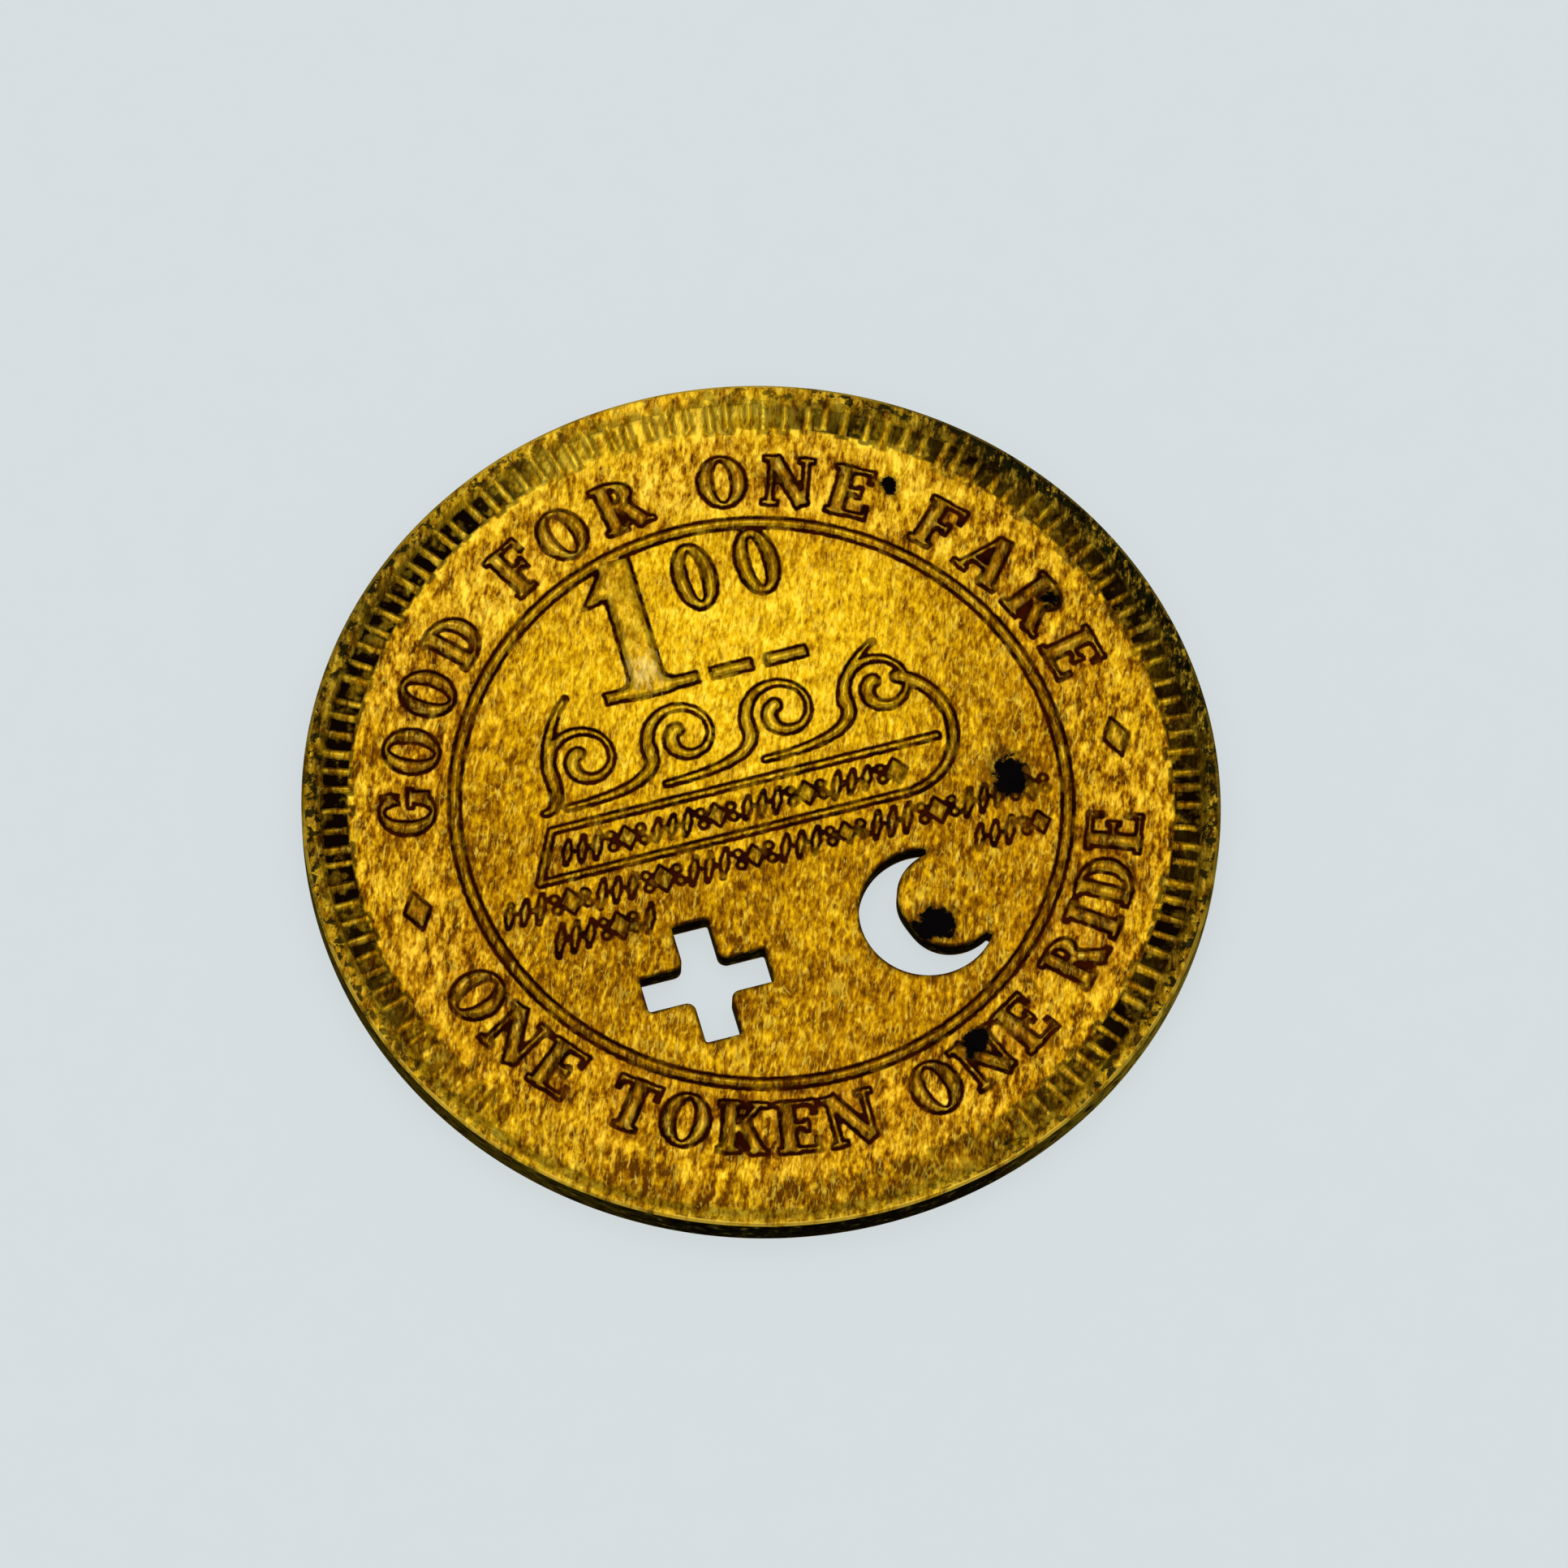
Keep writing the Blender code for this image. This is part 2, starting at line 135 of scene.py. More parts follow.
TENDRILS = (((-7.5, 3.3), (-7.3, 4.9), (-6.1, 6.05)), ((4.15, 3.1), (4.3, 4.4), (5.9, 5.3)))
TENDRIL_WIDTH = 0.42
TENDRIL_TAPER = 0.02
BANNER_LINE = 0.24
BANNER_LEFT = (-9.05, -1.15)
BANNER_TOP_LEFT = (-8.05, 0.85)
BANNER_TOP_RIGHT = (7.2, 0.85)
BANNER_BOTTOM_RIGHT = (5.5, -1.15)
SWEEP_RADIUS = 2.5
SWEEP_POINTS = 40
SWEEP_STEP = 4
SWEEP_GROWTH = 0.006
ORNAMENT_RISE = 0.12
ORNAMENT_PITCH = 0.6
ORNAMENT_TALL = (0.85, 1.1)
DOT_RADIUS = 0.15
# Rows of small ornaments: first x, last x, middle height, size.
ORNAMENT_ROWS = ((-7.7, 5.3, -0.16, 0.95), (-10.5, 10.6, -2.15, 1.0), (-8.9, -5.4, -3.6, 1.15),
                 (7.6, 10.0, -3.65, 0.95))

# The cut-outs.
PLUS_CENTRE = (-4.0, -6.6)
PLUS_HALF_SIZE = 2.46
PLUS_STROKE = 1.42
PLUS_FILLET = 0.35
CRESCENT_CENTRE = (4.85, -6.08)
CRESCENT_RADIUS = 2.62
CRESCENT_WIDTH = 1.75
CRESCENT_TILT = 20
CRESCENT_REACH = 124
CRESCENT_TIP = 0.25
CUT_ROUND = 0.06
CUT_DROP = 0.05
CUT_CLEAR = 0.12

# The reverse.
REVERSE_SCALE = 1.15
REVERSE_ONE_Y = 3.0
REVERSE_ONE_BOX = (-2.8, -0.6, 3.0, 6.6)

# The finish.
STREAK_TURN = math.radians(-22)
BUMP_HEIGHT = 0.03
EDGE_TINT = (0.5, 0.42, 0.25, 1)
# Turns from +X, a whole turn being 1, and what the patina weighs there; its heavier stretches are
# painted shade as well as patina. Then extra tone of the denticles and of the rim, where 0.5 is none.
RIM_TURNS = (0.0, 0.12, 0.18, 0.25, 0.31, 0.38, 0.5, 0.62, 0.75, 0.87, 1.0)
RIM_PATINA_AND_SHADE = (1.0, 1.0, 0.5, 0.0, 0.4, 0.8, 0.5, 0.12, 0.2, 0.5, 1.0)
TOOTH_TONE = (0.45, 0.5, 0.72, 0.95, 0.85, 0.65, 0.6, 0.44, 0.32, 0.52, 0.45)
RIM_TONE = (0.5, 0.5, 0.55, 0.62, 0.55, 0.5, 0.6, 0.72, 0.66, 0.58, 0.5)
# How bare the side of the disc is, at turns of its own.
SIDE_BARE = ((0.0, 0.3), (0.5, 0.2), (0.62, 0.25), (0.68, 0.0), (0.79, 0.0), (0.85, 0.9), (0.95, 0.8),
             (1.0, 0.3))
PALE_SPOT = (-2.85, 6.3)
# Black blotches: x, y, reach.
BLOTCHES = ((9.4, -1.3, 0.95), (5.1, -11.7, 0.65), (8.35, 11.4, 0.42), (13.0, 5.2, 0.48),
            (4.9, -6.6, 0.95))

# The camera, in millimetres and degrees.
CAMERA_AZIMUTH = -18.5
CAMERA_ELEVATION = 66
CAMERA_ROLL = 3.0
CAMERA_DISTANCE = 400
FRAME_WIDTH = 59.66
AIM_RIGHT = 0.855
AIM_UP = 0.525
SENSOR = 36
SURROUND = (0.95, 0.97, 1.0, 1)
SURROUND_STRENGTH = 0.53

# The grid that shapes are drawn on. Distances inside a shape are kept down to -FAR.
STEP = 0.032
FAR = 0.7

# The mesh made from it: lines at these distances inside the relief, with edges of these lengths at
# most, and loose points between them.
LEVELS = (-0.15, 0.0, 0.075, 0.15)
LONGEST = (0.4, 0.22, 0.22, 0.3)
CUT_LONGEST = 0.3
SLACK = 0.007
FILL_STEP = 0.28
FILL_CLEAR = 0.11
FILL_JITTER = 0.04

# ---------------------------------------------------------------- shapes


def bar(x, y, x0, y0, x1, y1, width):
    """A straight stroke with square ends."""
    length = math.hypot(x1 - x0, y1 - y0)
    ux, uy = (x1 - x0) / length, (y1 - y0) / length
    x, y = x - (x0 + x1) / 2, y - (y0 + y1) / 2
    along = np.abs(x * ux + y * uy) - length / 2
    aside = np.abs(y * ux - x * uy) - width / 2
    beyond = np.hypot(np.maximum(along, 0), np.maximum(aside, 0))
    return -(beyond + np.minimum(np.maximum(along, aside), 0))


def oval(x, y, x_radius, y_radius):
    """An ellipse about the origin."""
    value = 1 - (x / x_radius) ** 2 - (y / y_radius) ** 2
    slope = 2 * np.hypot(x / x_radius**2, y / y_radius**2)
    return value / np.maximum(slope, 1 / FAR)


def bowl(x, y, cx, cy, x_radius, y_radius, first, last, side, top):
    """A curved stroke between two ellipses, cut off at two angles."""
    x, y = x - cx, y - cy
    band = np.minimum(oval(x, y, x_radius, y_radius), -oval(x, y, x_radius - side, y_radius - top))
    if last - first >= 360:
        return band
    a, b = math.radians(first), math.radians(last)
    after = y * math.cos(a) - x * math.sin(a)
    before = x * math.sin(b) - y * math.cos(b)
    sector = np.maximum(after, before) if last - first > 180 else np.minimum(after, before)
    return np.minimum(band, sector)


def ribbon(x, y, path, widths):
    """A round-ended stroke of varying width along a line of points."""
    inside = np.full(x.shape, -FAR)
    for (x0, y0), (x1, y1), w0, w1 in zip(path, path[1:], widths, widths[1:]):
        dx, dy = x1 - x0, y1 - y0
        t = np.clip(((x - x0) * dx + (y - y0) * dy) / (dx * dx + dy * dy), 0, 1)
        gap = np.hypot(x - x0 - t * dx, y - y0 - t * dy)
        inside = np.maximum(inside, (w0 + (w1 - w0) * t) / 2 - gap)
    return inside


def polygon(x, y, corners):
    """A closed outline."""
    nearest = np.full(x.shape, FAR**2 * 4)
    odd = np.zeros(x.shape, bool)
    for (x0, y0), (x1, y1) in zip(corners, corners[1:] + corners[:1]):
        dx, dy = x1 - x0, y1 - y0
        t = np.clip(((x - x0) * dx + (y - y0) * dy) / (dx * dx + dy * dy), 0, 1)
        nearest = np.minimum(nearest, (x - x0 - t * dx) ** 2 + (y - y0 - t * dy) ** 2)
        if dy != 0:
            odd ^= ((y0 > y) != (y1 > y)) & (x < x0 + (y - y0) / dy * dx)
    return np.where(odd, 1, -1) * np.sqrt(nearest)


def blend(a, b, radius):
    """Both shapes together, with a fillet of about this radius where they meet."""
    near = np.maximum(radius - np.abs(a - b), 0)
    return np.maximum(a, b) + near**2 / (4 * radius)


# Letters in a box one unit high: width, bars (x0, y0, x1, y1, width) and
# bowls (centre x, centre y, x radius, y radius, first angle, last angle, side width, top width).
STEM = 0.27
HAIR = 0.10
SERIF = 0.085
FOOT = SERIF / 2
HEAD = 1 - SERIF / 2
TICK = 0.07
DIAGONAL = 0.25


def serif(left, right, height):
    """A flat serif from left to right at one end of a stem."""
    return (left, height, right, height, SERIF)


def stem(x, left, top, foot):
    """A full stem with a serif at each end, from left to top or to foot."""
    return [(x, 0, x, 1, STEM), serif(left, top, HEAD), serif(left, foot, FOOT)]


LETTERS = {
    "A": (1.00, [(0.15, 0.02, 0.47, 0.97, HAIR), (0.51, 0.99, 0.80, 0.01, STEM),
                 (0.25, 0.32, 0.70, 0.32, SERIF), serif(0.0, 0.31, FOOT), serif(0.62, 1.0, FOOT)], []),
    "D": (0.92, stem(0.24, 0.03, 0.36, 0.36), [(0.34, 0.5, 0.55, 0.5, -90, 90, STEM, SERIF)]),
    "E": (0.80, [*stem(0.24, 0.03, 0.75, 0.78), (0.74, 0.74, 0.74, 1, TICK), (0.77, 0, 0.77, 0.27, TICK),
                 (0.3, 0.52, 0.60, 0.52, SERIF), (0.58, 0.40, 0.58, 0.64, TICK)], []),
    "F": (0.78, [*stem(0.24, 0.03, 0.75, 0.47), (0.74, 0.72, 0.74, 1, TICK),
                 (0.3, 0.50, 0.60, 0.50, SERIF), (0.58, 0.38, 0.58, 0.62, TICK)], []),
    "G": (0.96, [(0.77, 0.10, 0.77, 0.44, 0.24), serif(0.56, 0.96, 0.44),
                 (0.80, 0.68, 0.80, 0.98, TICK)],
          [(0.48, 0.5, 0.46, 0.52, 40, 320, STEM, SERIF)]),
    "I": (0.50, stem(0.25, 0.02, 0.48, 0.48), []),
    "K": (0.96, [*stem(0.24, 0.03, 0.45, 0.45), (0.33, 0.38, 0.76, 0.96, HAIR),
                 (0.47, 0.60, 0.79, 0.03, DIAGONAL), serif(0.60, 0.92, HEAD), serif(0.62, 0.98, FOOT)], []),
    "N": (0.98, [(0.17, 0, 0.17, 0.95, HAIR), (0.82, 0.05, 0.82, 1, HAIR),
                 (0.19, 0.97, 0.79, 0.03, DIAGONAL), serif(0.0, 0.26, HEAD), serif(0.02, 0.32, FOOT),
                 serif(0.67, 0.97, HEAD)], []),
    "O": (0.92, [], [(0.46, 0.5, 0.45, 0.52, 0, 360, STEM, SERIF)]),
    "R": (0.98, [*stem(0.24, 0.03, 0.40, 0.45), (0.3, 0.52, 0.42, 0.52, SERIF),
                 (0.50, 0.53, 0.80, 0.03, DIAGONAL), serif(0.64, 0.99, FOOT)],
          [(0.38, 0.74, 0.40, 0.26, -90, 90, 0.25, SERIF)]),
    "T": (0.86, [(0.43, 0, 0.43, 1, STEM), serif(0.03, 0.83, HEAD), serif(0.21, 0.65, FOOT),
                 (0.06, 0.74, 0.06, 1, TICK), (0.80, 0.74, 0.80, 1, TICK)], []),
}


def letter(x, y, name):
    """One capital, with bracketed serifs. Its box is one unit high."""
    inside = np.full(x.shape, -FAR)
    for stroke in LETTERS[name][1]:
        inside = blend(inside, bar(x, y, *stroke), BRACKET / LETTER_HEIGHT)
    for stroke in LETTERS[name][2]:
        inside = blend(inside, bowl(x, y, *stroke), BRACKET / LETTER_HEIGHT)
    return inside


def numeral_one(x, y):
    """The tall figure 1: stem, flag and foot."""
    left, right = ONE_STEM
    reach_left, reach_right, thick = ONE_FOOT
    middle, sunk = (left + right) / 2, 0.1
    stem = bar(x, y, middle, ONE_BASE + sunk, middle, ONE_TOP, right - left)
    foot_y = ONE_BASE + thick / 2
    foot = bar(x, y, left - reach_left, foot_y, right + reach_right, foot_y, thick)
    flag = polygon(x, y, [(left + dx, ONE_TOP + dy) for dx, dy in ONE_FLAG])
    return blend(blend(stem, foot, ONE_FOOT_FILLET), flag, ONE_FLAG_FILLET)


def reverse_one(x, y):
    """The figure 1 of the reverse, larger and in the middle."""
    u = x / REVERSE_SCALE + sum(ONE_STEM) / 2
    v = (y - REVERSE_ONE_Y) / REVERSE_SCALE + (ONE_BASE + ONE_TOP) / 2
    return numeral_one(u, v) * REVERSE_SCALE


# ---------------------------------------------------------------- one face on a grid


def between(grid, whole, share):
    """Values between the points of a grid: whole steps and the share of the next one."""
    i, j = whole.T
    u, v = share.T
    return ((grid[j, i] * (1 - u) + grid[j, i + 1] * u) * (1 - v)
            + (grid[j + 1, i] * (1 - u) + grid[j + 1, i + 1] * u) * v)


class Face:
    """One face of the token, seen from outside it, as grids over the whole disc."""

    def __init__(self):
        count = math.ceil(2 * (RADIUS + STEP) / STEP) + 1
        self.axis = (np.arange(count) - (count - 1) / 2) * STEP
        self.inside = np.full((count, count), -FAR)
        self.rise = np.zeros((count, count))

    def window(self, box):
        """The slice of the grid that a box covers, with room around it."""
        low_x, low_y, high_x, high_y = box
        columns = np.searchsorted(self.axis, (low_x - FAR, high_x + FAR))
        rows = np.searchsorted(self.axis, (low_y - FAR, high_y + FAR))
        return slice(*rows), slice(*columns)

    def add(self, shape, box, rise):
        """Raise a shape, drawn as shape(x, y)."""
        part = self.window(box)
        x, y = np.meshgrid(self.axis[part[1]], self.axis[part[0]])
        inside = np.maximum(shape(x, y), -FAR)
        better = inside > self.inside[part]
        self.inside[part] = np.where(better, inside, self.inside[part])
        self.rise[part] = np.where(better, rise, self.rise[part])

    def sample(self, grid, points):
        """Read a grid between its points."""
        place = (points - self.axis[0]) / STEP
        whole = np.clip(np.floor(place).astype(int), 0, len(self.axis) - 2)
        return between(grid, whole, place - whole)


def add_words(face, words, arc, inward):
    """Letters along an arc. Their feet point inwards, or outwards on the lower legend."""
    widths = [WORD_SPACE if c == " " else LETTERS[c][0] + LETTER_GAP for c in words]
    foot = LETTER_BASE + (0 if inward else LETTER_HEIGHT)
    walked = 0.0
    for name, width in zip(words, widths):
        angle = math.radians(arc[0] + (arc[1] - arc[0]) * (walked + width / 2) / sum(widths))
        walked += width
        if name == " ":
            continue
        tilt = angle - math.pi / 2 if inward else angle + math.pi / 2
        foot_x, foot_y = foot * math.cos(angle), foot * math.sin(angle)
        half = LETTERS[name][0] / 2

        def placed(x, y):
            u = ((x - foot_x) * math.cos(tilt) + (y - foot_y) * math.sin(tilt)) / LETTER_HEIGHT + half
            v = ((y - foot_y) * math.cos(tilt) - (x - foot_x) * math.sin(tilt)) / LETTER_HEIGHT
            return letter(u, v, name) * LETTER_HEIGHT

        reach = LETTER_HEIGHT * LETTER_REACH
        face.add(placed, (foot_x - reach, foot_y - reach, foot_x + reach, foot_y + reach), LETTER_RISE)


def add_diamonds(face):
    """A diamond between the legends on each side."""
    distance, y, half_width, half_height = DIAMOND
    for x in (-distance, distance):
        corners = [(x + half_width, y), (x, y + half_height), (x - half_width, y), (x, y - half_height)]
        box = (x - half_width, y - half_height, x + half_width, y + half_height)
        face.add(lambda u, v: polygon(u, v, corners), box, LETTER_RISE)


def add_teeth(face, random):
    """The ring of radial denticles, which run into the rim."""
    for i in range(TOOTH_COUNT):
        a = math.tau * (i + random.uniform(*TOOTH_TURNS)) / TOOTH_COUNT
        inner = TOOTH_INNER + random.uniform(*TOOTH_STARTS)
        width = TOOTH_WIDTH * random.uniform(*TOOTH_WIDTHS)
        ends = [r * f for r in (inner, RIM_FOOT + RIM_SLOPE) for f in (math.cos(a), math.sin(a))]
        box = (min(ends[::2]), min(ends[1::2]), max(ends[::2]), max(ends[1::2]))
        face.add(lambda x, y: bar(x, y, *ends, width), box, TOOTH_RISE * random.uniform(*TOOTH_RISES))


def add_ring(face):
    """The thin raised ring inside the legends."""
    def ring(x, y):
        r = np.hypot(x, y)
        return np.minimum(r - RING_INNER, RING_OUTER - r)
    face.add(ring, (-RING_OUTER, -RING_OUTER, RING_OUTER, RING_OUTER), RING_RISE)


def add_numerals(face):
    """The figure 1 with two small zeros over bars."""
    left, right = ONE_STEM
    face.add(numeral_one, (left - ONE_FOOT[0], ONE_BASE, right + ONE_FOOT[1], ONE_TOP), NUMERAL_RISE)
    a, b = ZERO_HALF_SIZE
    for x, y in ZERO_CENTRES:
        box = (x - a, y - b, x + a, y + b)
        face.add(lambda u, v: bowl(u, v, x, y, a, b, 0, 360, *ZERO_STROKE), box, NUMERAL_RISE)
    for x, y in DASH_CENTRES:
        ends = (x - DASH_LENGTH / 2, y, x + DASH_LENGTH / 2, y)
        face.add(lambda u, v: bar(u, v, *ends, DASH_WIDTH), ends, NUMERAL_RISE)


def lean(start, bend, end, t):
    """A point on the curve from start to end that leans towards bend."""
    u = 1 - t
    return tuple(u * u * a + 2 * u * t * b + t * t * c for a, b, c in zip(start, bend, end))


def curl(centre, lead):
    """Middle line and widths of one curl: it rises from the left, rolls over and winds into its eye."""
    x, y = centre
    first, rise, turns = 195, 16, 48
    a = math.radians(first)
    start = (x - lead, y - CURL_DROP)
    foot = (x + CURL_RADIUS * math.cos(a), y + CURL_RADIUS * math.sin(a))
    bend = (foot[0] + 0.1, start[1])
    path, widths = [], []
    for i in range(rise):
        t = i / rise
        path.append(lean(start, bend, foot, t))
        widths.append(CURL_STROKE * (0.4 + 0.6 * t))
    for i in range(turns + 1):
        t = i / turns
        a = math.radians(first - CURL_TURN * t)
        radius = CURL_RADIUS + (CURL_EYE_RADIUS - CURL_RADIUS) * t
        path.append((x + radius * math.cos(a), y + radius * math.sin(a)))
        widths.append(CURL_STROKE * (1 - 0.6 * math.sin(math.pi * min(t * 1.25, 1))))
    return path, widths


def add_ribbon(face, path, widths, rise):
    """A pen stroke along a path."""
    xs, ys = zip(*path)
    face.add(lambda x, y: ribbon(x, y, path, widths), (min(xs), min(ys), max(xs), max(ys)), rise)


def add_scroll(face):
    """The running pen scroll with its tendrils, and the banner below it."""
    for centre, lead in zip(CURL_CENTRES, CURL_LEADS):
        add_ribbon(face, *curl(centre, lead), SCROLL_RISE)
    points = 14
    taper = [TENDRIL_WIDTH - TENDRIL_TAPER * i for i in range(points)]
    for start, bend, end in TENDRILS:
        path = [lean(start, bend, end, i / (points - 1)) for i in range(points)]
        add_ribbon(face, path, taper, SCROLL_RISE)
    for start, end in ((BANNER_TOP_LEFT, BANNER_TOP_RIGHT), (BANNER_LEFT, BANNER_BOTTOM_RIGHT),
                       (BANNER_LEFT, BANNER_TOP_LEFT)):
        add_ribbon(face, [start, end], [BANNER_LINE] * 2, RING_RISE)
    x, y = BANNER_BOTTOM_RIGHT
    path, widths = [], []
    for i in range(SWEEP_POINTS):
        a = math.radians(SWEEP_STEP * i)
        path.append((x - 0.1 + SWEEP_RADIUS * math.sin(a), y + SWEEP_RADIUS * (1 - math.cos(a))))
        widths.append(BANNER_LINE + SWEEP_GROWTH * i)
    add_ribbon(face, path, widths, RING_RISE)


def ornament(x, y, kind, size):
    """One small ornament about the origin: a slanted leaf, a lozenge or a pair of dots."""
    half = size / 2
    if kind == "leaf":
        reach = 0.2 * size
        return ribbon(x, y, [(-reach, -half), (0, 0), (reach, half)], (0.1, 0.3, 0.1))
    if kind == "lozenge":
        reach = 0.4 * size
        return polygon(x, y, [(0, -half), (reach, 0), (0, half), (-reach, 0)])
    reach = 0.24 * size
    return np.maximum(DOT_RADIUS - np.hypot(x, y - reach), DOT_RADIUS - np.hypot(x, y + reach))


def add_ornaments(face, random):
    """Rows of small ornaments: a rope of slanted leaves, broken by lozenges and dots."""
    pattern = ("leaf", "leaf", "leaf", "dots", "lozenge", "dots")
    for first, last, y, size in ORNAMENT_ROWS:
        count = round((last - first) / ORNAMENT_PITCH) + 1
        for i in range(count):
            x = first + (last - first) * i / (count - 1)
            kind = pattern[i % len(pattern)]
            tall = size * random.uniform(*ORNAMENT_TALL)
            box = (x - size / 2, y - size / 2, x + size / 2, y + size / 2)
            face.add(lambda u, v: ornament(u - x, v - y, kind, tall), box, ORNAMENT_RISE)


# ---------------------------------------------------------------- the cut-outs


def plus_outline():
    """The square-armed cut-out, with rounded inner corners and slightly soft outer ones."""
    arm = PLUS_STROKE / 2
    soft = 0.1
    centre = arm + PLUS_FILLET
    quarter = []
    for side, first in ((-1, -90), (1, 0)):
        for i in range(4):
            a = math.radians(first + 30 * i)
            x, y = PLUS_HALF_SIZE - soft + soft * math.cos(a), side * (arm - soft) + soft * math.sin(a)
            quarter.append((x, y))
    for i in range(7):
        a = math.radians(270 - 15 * i)
        quarter.append((centre + PLUS_FILLET * math.cos(a), centre + PLUS_FILLET * math.sin(a)))
    cx, cy = PLUS_CENTRE
    outline = []
    for c, s in ((1, 0), (0, 1), (-1, 0), (0, -1)):
        outline += [(cx + x * c - y * s, cy + x * s + y * c) for x, y in quarter]
    return outline


def crescent_outline():
    """The moon-shaped cut-out: a curved band, wide in the middle, with blunt tips."""
    cx, cy = CRESCENT_CENTRE
    steps = 60
    outer, inner = [], []
    for i in range(steps + 1):
        t = i / steps
        a = math.radians(180 + CRESCENT_TILT + CRESCENT_REACH * (2 * t - 1))
        width = CRESCENT_TIP + (CRESCENT_WIDTH - CRESCENT_TIP) * math.sin(math.pi * t)
        for line, radius in ((outer, CRESCENT_RADIUS), (inner, CRESCENT_RADIUS - width)):
            line.append((cx + radius * math.cos(a), cy + radius * math.sin(a)))
    return outer + inner[::-1]


# ---------------------------------------------------------------- level lines


def trace(values, level, axis):
    """The closed level lines of a grid, each as an array of points."""
    over = values - level
    over[over == 0] = 1e-9
    up = over > 0
    across = up[:, :-1] != up[:, 1:]
    upright = up[:-1] != up[1:]
    across_id = np.full(across.shape, -1)
    upright_id = np.full(upright.shape, -1)
    count = int(across.sum())
    across_id[across] = np.arange(count)
    upright_id[upright] = count + np.arange(int(upright.sum()))
    j, i = np.nonzero(across)
    t = over[j, i] / (over[j, i] - over[j, i + 1])
    first = np.column_stack((axis[i] + t * STEP, axis[j]))
    j, i = np.nonzero(upright)
    t = over[j, i] / (over[j, i] - over[j + 1, i])
    points = np.concatenate((first, np.column_stack((axis[i], axis[j] + t * STEP))))
    cells = np.stack((across_id[:-1], across_id[1:], upright_id[:, :-1], upright_id[:, 1:]), -1)
    cells = cells.reshape(-1, 4)
    found = (cells >= 0).sum(1)
    plain = np.sort(cells[found == 2], 1)[:, 2:]
    saddle = cells[found == 4]
    links = np.concatenate((plain, saddle[:, [0, 2]], saddle[:, [1, 3]]))
    return follow(links, points)


def follow(links, points):
    """Join links between points into closed lines. A line that isn't closed is left out."""
    ends = np.concatenate((links, links[:, ::-1]))
    ends = ends[np.argsort(ends[:, 0], kind="stable")]
    start = np.searchsorted(ends[:, 0], np.arange(len(points) + 1))
    after = ends[:, 1].tolist()
    start = start.tolist()
    used = [False] * len(points)
    lines = []
    for seed in range(len(points)):
        if used[seed]:
            continue
        line, here, before = [seed], seed, -1
        used[seed] = True
        while True:
            nexts = [n for n in after[start[here]:start[here + 1]] if n != before and not used[n]]
            if not nexts:
                break
            before, here = here, nexts[0]
            used[here] = True
            line.append(here)
        if len(line) > 5 and seed in after[start[here]:start[here + 1]]:
            lines.append(points[line])
    return lines


def thin_out(line, longest):
    """Keep few points of a closed line: within SLACK of it, and none further apart than longest."""
    count = len(line)
    closed = np.concatenate((line, line[:1]))
    kept = {0, count // 2}
    spans = [(0, count // 2), (count // 2, count)]
    while spans:
        a, b = spans.pop()
        if b - a < 2:
            continue
        chord = closed[b] - closed[a]
        length = max(math.hypot(*chord), 1e-9)
        rest = closed[a + 1:b] - closed[a]
        off = np.abs(rest[:, 0] * chord[1] - rest[:, 1] * chord[0]) / length
        split = a + 1 + int(off.argmax())
        if off.max() <= SLACK:
            if length <= longest:
                continue
            split = (a + b) // 2
        kept.add(split)
        spans += [(a, split), (split, b)]
    return line[sorted(kept)]


def circle(radius, count):
    """Points of a circle about the origin."""
    a = math.tau * np.arange(count) / count
    return np.column_stack((np.cos(a), np.sin(a))) * radius


# ---------------------------------------------------------------- relief heights


def lumps(points, cell, seed):
    """Smooth random values from -1 to 1 that change over about one cell."""
    span = math.ceil(RADIUS * 2 / cell) + 4
    values = np.random.default_rng(seed).uniform(-1, 1, (span, span))
    place = points / cell + span / 2
    whole = np.floor(place).astype(int)
    return between(values, np.clip(whole, 0, span - 2), ease(place - whole))


def ease(t):
    """A smooth step from 0 to 1."""
    t = np.clip(t, 0, 1)
    return t * t * (3 - 2 * t)


def rim_inside(points):
    """How far points lie inside the rim, whose foot wavers a little."""
    return np.hypot(*points.T) - RIM_FOOT + 0.02 * lumps(points, 1.7, SEED + 1)


def kept(points):
    """How much of the relief wear has left: all of it inside, less along the rim."""
    angle = np.degrees(np.arctan2(points[:, 1], points[:, 0])) % 360
    rim = np.interp(angle, *zip(*TOOTH_KEPT)) + 0.15 * lumps(points, 1.5, SEED + 5)
    return 1 - (1 - np.clip(rim, 0, 1)) * ease((np.hypot(*points.T) - TOOTH_INNER + 0.6) / 0.4)


def heights(face, points, cut):
    """Height of the surface above the sunk field. cut is how far points lie inside a cut-out."""
    inside = face.sample(face.inside, points)
    rise = face.sample(face.rise, points)
    left = kept(points)
    worn = left * (1 - 0.35 * ease(lumps(points, 6.0, SEED + 2) * 1.4))
    height = rise * worn * ease(inside / WALL)
    slope = WORN_SLOPE + (RIM_SLOPE - WORN_SLOPE) * left
    height = np.maximum(height, FIELD_SINK * ease(rim_inside(points) / slope))
    height += 0.006 * lumps(points, 2.3, SEED + 3) + 0.006 * lumps(points, 0.8, SEED + 4)
    height -= CUT_DROP * ease((cut + CUT_ROUND) / CUT_ROUND)
    return np.minimum(height, FIELD_SINK)


# ---------------------------------------------------------------- the mesh


